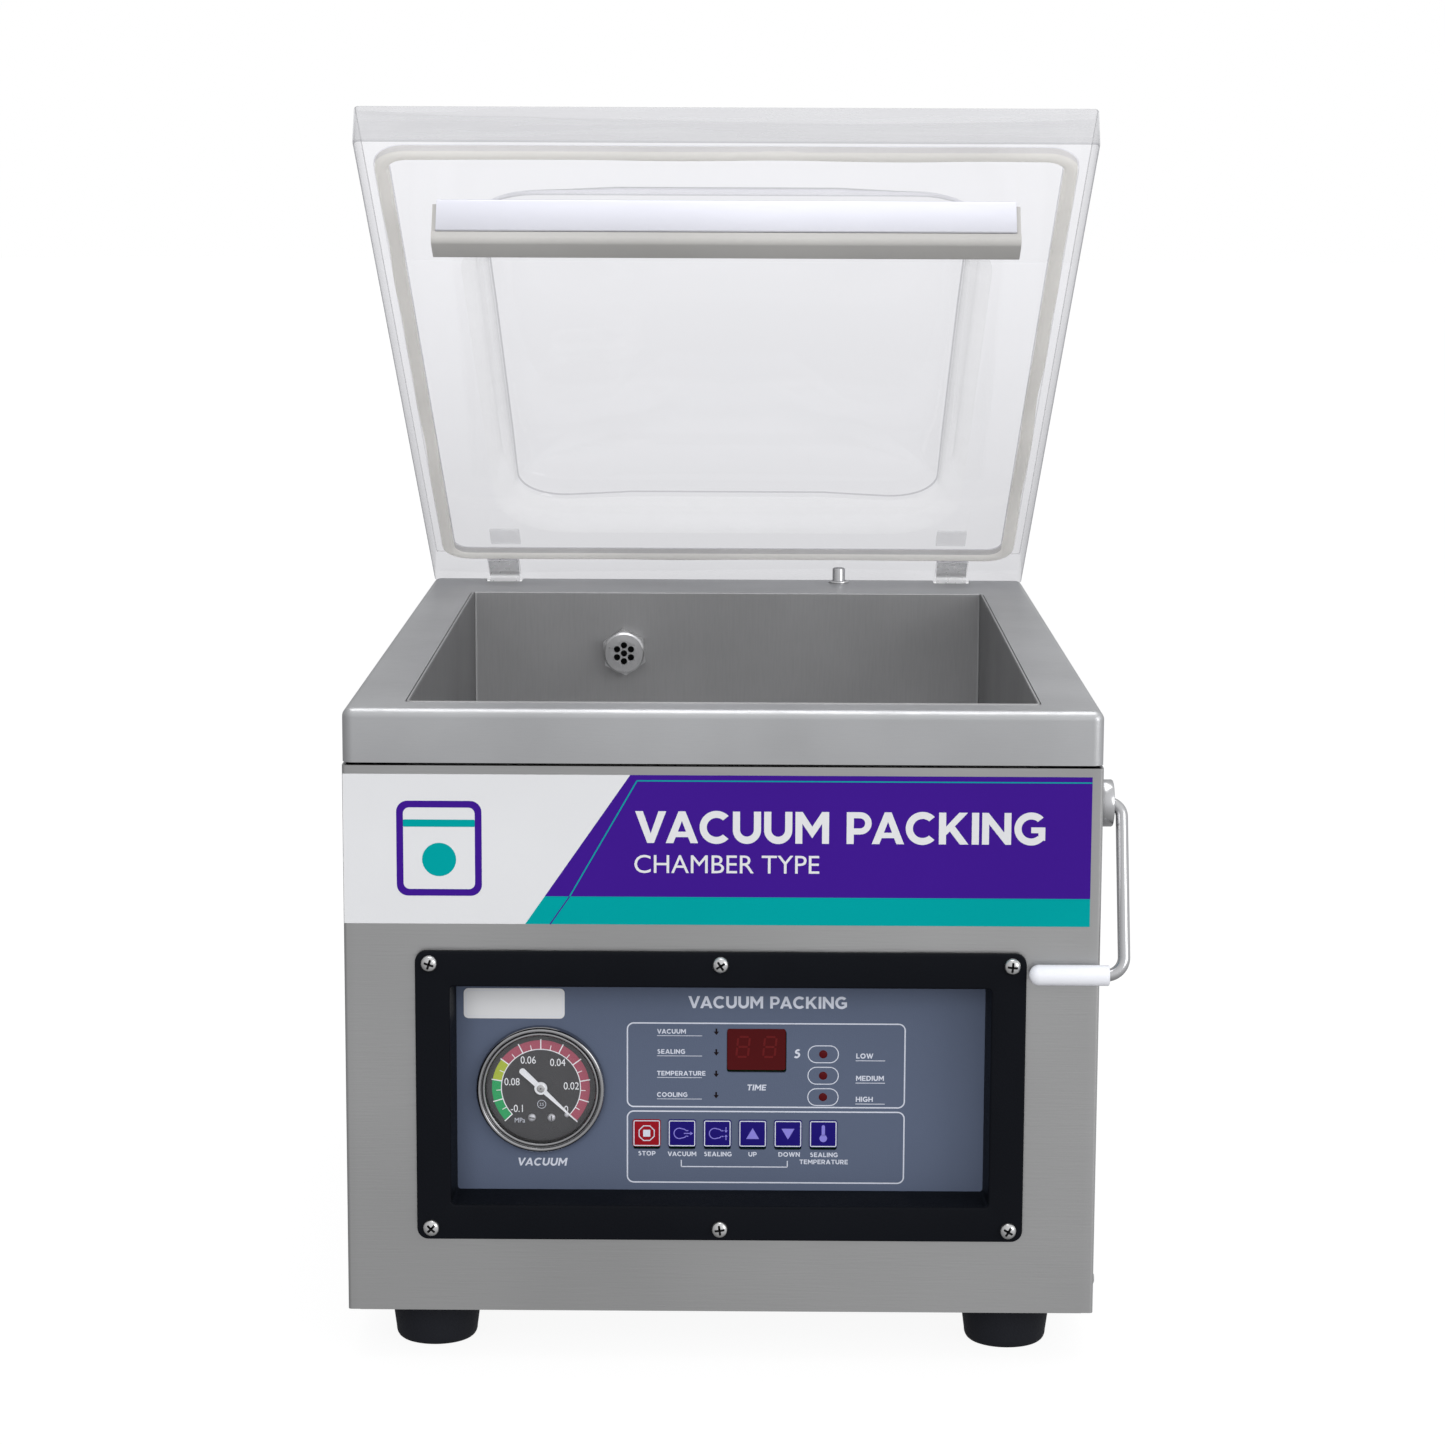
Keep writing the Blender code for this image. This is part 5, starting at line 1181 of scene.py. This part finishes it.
def front_label():
    """A printed sheet in plain colour fields, with generic words and a pouch drawn on it."""
    left, right, top, bottom, strip = -166.6, 162.0, -28.9, -95.8, -83.3
    slant_top, slant_bottom = -40.5, -86.8
    slope = (slant_bottom - slant_top) / (bottom - top)
    slant_strip = slant_top + slope * (strip - top)
    thick = 0.2
    fields = {
        "label_grey": [(left, top), (slant_top, top), (slant_bottom, bottom), (left, bottom)],
        "label_purple": [(slant_top, top), (right, top), (right, strip), (slant_strip, strip)],
        "label_teal": [(slant_strip, strip), (right, strip), (right, bottom), (slant_bottom, bottom)],
    }
    parts = [(prism([outline[::-1]], thick), look) for look, outline in fields.items()]
    start = (slant_top + 3.0, top - 2.5)
    turn_point = (slant_strip + 11.0, strip)
    foot = (turn_point[0] + slope * (bottom - strip), bottom)
    on_top = [
        (prism([bar(start, (right, top - 2.5), 0.55)], 0.04), "label_teal"),
        (prism([bar(start, turn_point, 0.55)], INK_DEPTH), "label_teal"),
        (prism([bar(turn_point, foot, 0.55)], INK_DEPTH), "label_purple"),
        (heavy("VACUUM PACKING", 14.2, (-38.3, -52.0), 180.0), "label_grey"),
        (lettering("CHAMBER TYPE", 8.4, (-39.2, -68.3), "LEFT"), "label_grey"),
        *pouch((-124.5, -62.0), 1.25),
    ]
    parts += [(moved(shape, shift(0, -thick, 0)), look) for shape, look in on_top]
    made("front_label", parts, "label_grey")


def pouch(middle, size):
    """A generic pictogram: a pouch with a sealed mouth and a round product inside."""
    x, z = middle
    outlines = [rectangle(15.0, 17.0, 4.0), rectangle(12.6, 14.6, 2.2), rectangle(12.6, 1.3, 0.4, (0, 9.0))]
    body, hollow, seal = ([(x + u * size, z + v * size) for u, v in outline] for outline in outlines)
    content = circle(6.0 * size, (x, z - 4.0 * size))
    return [
        (prism([body, hollow], INK_DEPTH), "label_purple"),
        (prism([seal], INK_DEPTH), "label_teal"),
        (prism([content], INK_DEPTH), "label_teal"),
    ]


def side_screws():
    """Dome heads low on the right side panel, near its front and back."""
    head = [(0, 2.3), (1.6, 2.2), (2.8, 1.7), (3.6, 0.9), (3.85, 0.2), (3.85, 0), (0, 0)]
    for name, y in (("side_screw", 20), ("side_screw_back", LENGTH - 20)):
        made(name, moved(lathe(head, 32), shift(HALF, y, -263), ALONG_X), "nickel")


# ---- lever -------------------------------------------------------------------------------------


def lever():
    """Turned hub, bent rod and moulded grip."""
    hub_start, rod_x, rod_radius = (PIVOT.x - ORIGIN.x) * 1000, 177.2, 2.75
    hub = [(0, 6.0), (9.4, 6.0), (10.1, 5.8), (10.5, 5.2), (10.5, 0.6), (10.2, 0), (4, 0), (4, -8), (0, -8)]
    hub = moved(lathe(hub, 72), shift(hub_start, 0, 0), ALONG_X)
    bend, low_bend = 6.0, rod_x - 169.0
    path = [(hub_start + 1, 0)]
    path += arc((rod_x - bend, -bend), bend, 90, 0, 12)
    path += arc((rod_x - low_bend, low_bend - LEVER_REACH), low_bend, 0, -90, 14)
    path += [(150, -LEVER_REACH)]
    rod = tube([(u, 0, v) for u, v in path], rod_radius, 6)
    made("lever_rod", [hub, rod], "polished_steel", "lever", 35, replaces=("lever_arm",))
    start, end, radius = 135.3, 170.6, 4.6
    grip = [(3.05, end - start), (radius - 0.6, end - start), (radius - 0.15, end - start - 0.2)]
    grip += [(radius, end - start - 0.7), (radius, 4.2)]
    grip += [(radius * cos(a), 4.2 - 4.2 * sin(a)) for a in (0.25, 0.55, 0.85, 1.15, 1.4)] + [(0, 0)]
    grip = [*grip, (0, 9.0), (3.05, 9.0), (3.05, end - start)]
    shape = moved(lathe(grip, 48), shift(start, 0, -LEVER_REACH), ALONG_X)
    made("lever_handle", shape, "grip_white", "lever", 40, replaces=("lever_grip",))


# ---- studio ------------------------------------------------------------------------------------


def floor():
    """A white floor that neither shows in the steel nor lights the machine."""
    mesh = bpy.data.meshes.new("floor")
    shape = bmesh.new()
    bmesh.ops.create_grid(shape, x_segments=1, y_segments=1, size=15)
    shape.to_mesh(mesh)
    shape.free()
    material = finish("floor_white", (0.12, 0.12, 0.12), 0.7, 0.0, 300, 0.05, 0.0, 0.004)
    shader = material.node_tree.nodes["Principled BSDF"]
    shader.inputs["Emission Color"].default_value = (1, 1, 1, 1)
    shader.inputs["Emission Strength"].default_value = 0.91
    mesh.materials.append(material)
    ground = bpy.data.objects.new("floor", mesh)
    bpy.context.scene.collection.objects.link(ground)
    ground.visible_glossy = False
    ground.visible_diffuse = False


def room():
    """Grey surroundings that the steel reflects, lighter upwards. The camera itself sees white."""
    world = bpy.data.worlds.new("studio")
    bpy.context.scene.world = world
    world.use_nodes = True
    tree = world.node_tree
    backdrop = tree.nodes["Background"]
    backdrop.inputs["Color"].default_value = (1, 1, 1, 1)
    backdrop.inputs["Strength"].default_value = 1.0
    direction = add(tree, "TexCoord", {}).outputs["Generated"]
    split = add(tree, "SeparateXYZ", {"Vector": direction}).outputs
    upward = add(tree, "MapRange", {"Value": split["Z"], "From Min": -1.0}).outputs["Result"]
    tone = add(tree, "ValToRGB", {"Fac": upward})
    stops = tone.color_ramp.elements
    for place, level in ((0.40, 0.47), (0.50, 0.56), (0.62, 0.62)):
        stops.new(place).color = (level * 0.99, level * 0.995, level * 1.01, 1)
    stops[0].color = (0.27, 0.27, 0.272, 1)
    stops[-1].color = (0.715, 0.72, 0.725, 1)
    strength = add(tree, "Math", {})
    strength.operation = "MULTIPLY"
    for place, (axis, low, high) in enumerate((("X", 0.7, 1.3), ("Y", 1.25, 0.75))):
        ends = {"From Min": -1.0, "To Min": low, "To Max": high}
        level = add(tree, "MapRange", {"Value": split[axis], **ends})
        tree.links.new(level.outputs["Result"], strength.inputs[place])
    lit = add(tree, "Background", {"Color": tone.outputs["Color"], "Strength": strength.outputs["Value"]})
    seen = add(tree, "LightPath", {}).outputs["Is Camera Ray"]
    surface = mixed(tree, seen, lit.outputs["Background"], backdrop.outputs["Background"])
    tree.links.new(surface, tree.nodes["World Output"].inputs["Surface"])


def lights():
    """Three square lamps aimed at the machine. The key light doesn't show in the steel."""
    aim = Vector((0, 0, 0.28))
    for name, place, size, power in (
        ("key_light", (-0.5, -2.7, 0.9), 1.8, 26),
        ("fill_light", (1.9, -1.6, 0.9), 1.2, 9),
        ("top_light", (0.1, 0.1, 2.2), 1.6, 14),
    ):
        light = bpy.data.lights.new(name, "AREA")
        light.shape = "SQUARE"
        light.size = size
        light.energy = power
        lamp = bpy.data.objects.new(name, light)
        bpy.context.scene.collection.objects.link(lamp)
        lamp.visible_glossy = name != "key_light"
        lamp.location = place
        lamp.rotation_euler = (aim - Vector(place)).to_track_quat("-Z", "Y").to_euler()
    bpy.context.scene.view_settings.view_transform = "Standard"


def camera():
    """Where the product is looked at from: a long lens, a little above the deck."""
    data = bpy.data.cameras.new("camera")
    data.sensor_width = 36
    data.lens = 89.45
    data.clip_end = 50
    viewer = bpy.data.objects.new("camera", data)
    bpy.context.scene.collection.objects.link(viewer)
    place = ORIGIN + Vector((0.0082, -1.5486, 0.2445))
    pitch, yaw, roll = radians(90 - 9.1663), radians(0.3084), radians(0.2356)
    turned = Matrix.Rotation(yaw, 4, "Z") @ Matrix.Rotation(pitch, 4, "X") @ Matrix.Rotation(roll, 4, "Z")
    viewer.matrix_world = Matrix.Translation(place) @ turned
    bpy.context.scene.camera = viewer


camera()
keep_cad_nodes()
deck()
chamber()
side_panels()
front_panel()
feet()
lid()
gasket()
pressure_bar()
hinges()
springs()
suction_port()
lid_switch()
bezel()
for screw_number in range(1, 7):
    cross_screw(screw_number)
panel_print()
sticker()
display()
keys()
gauge()
front_label()
side_screws()
lever()
floor()
room()
lights()
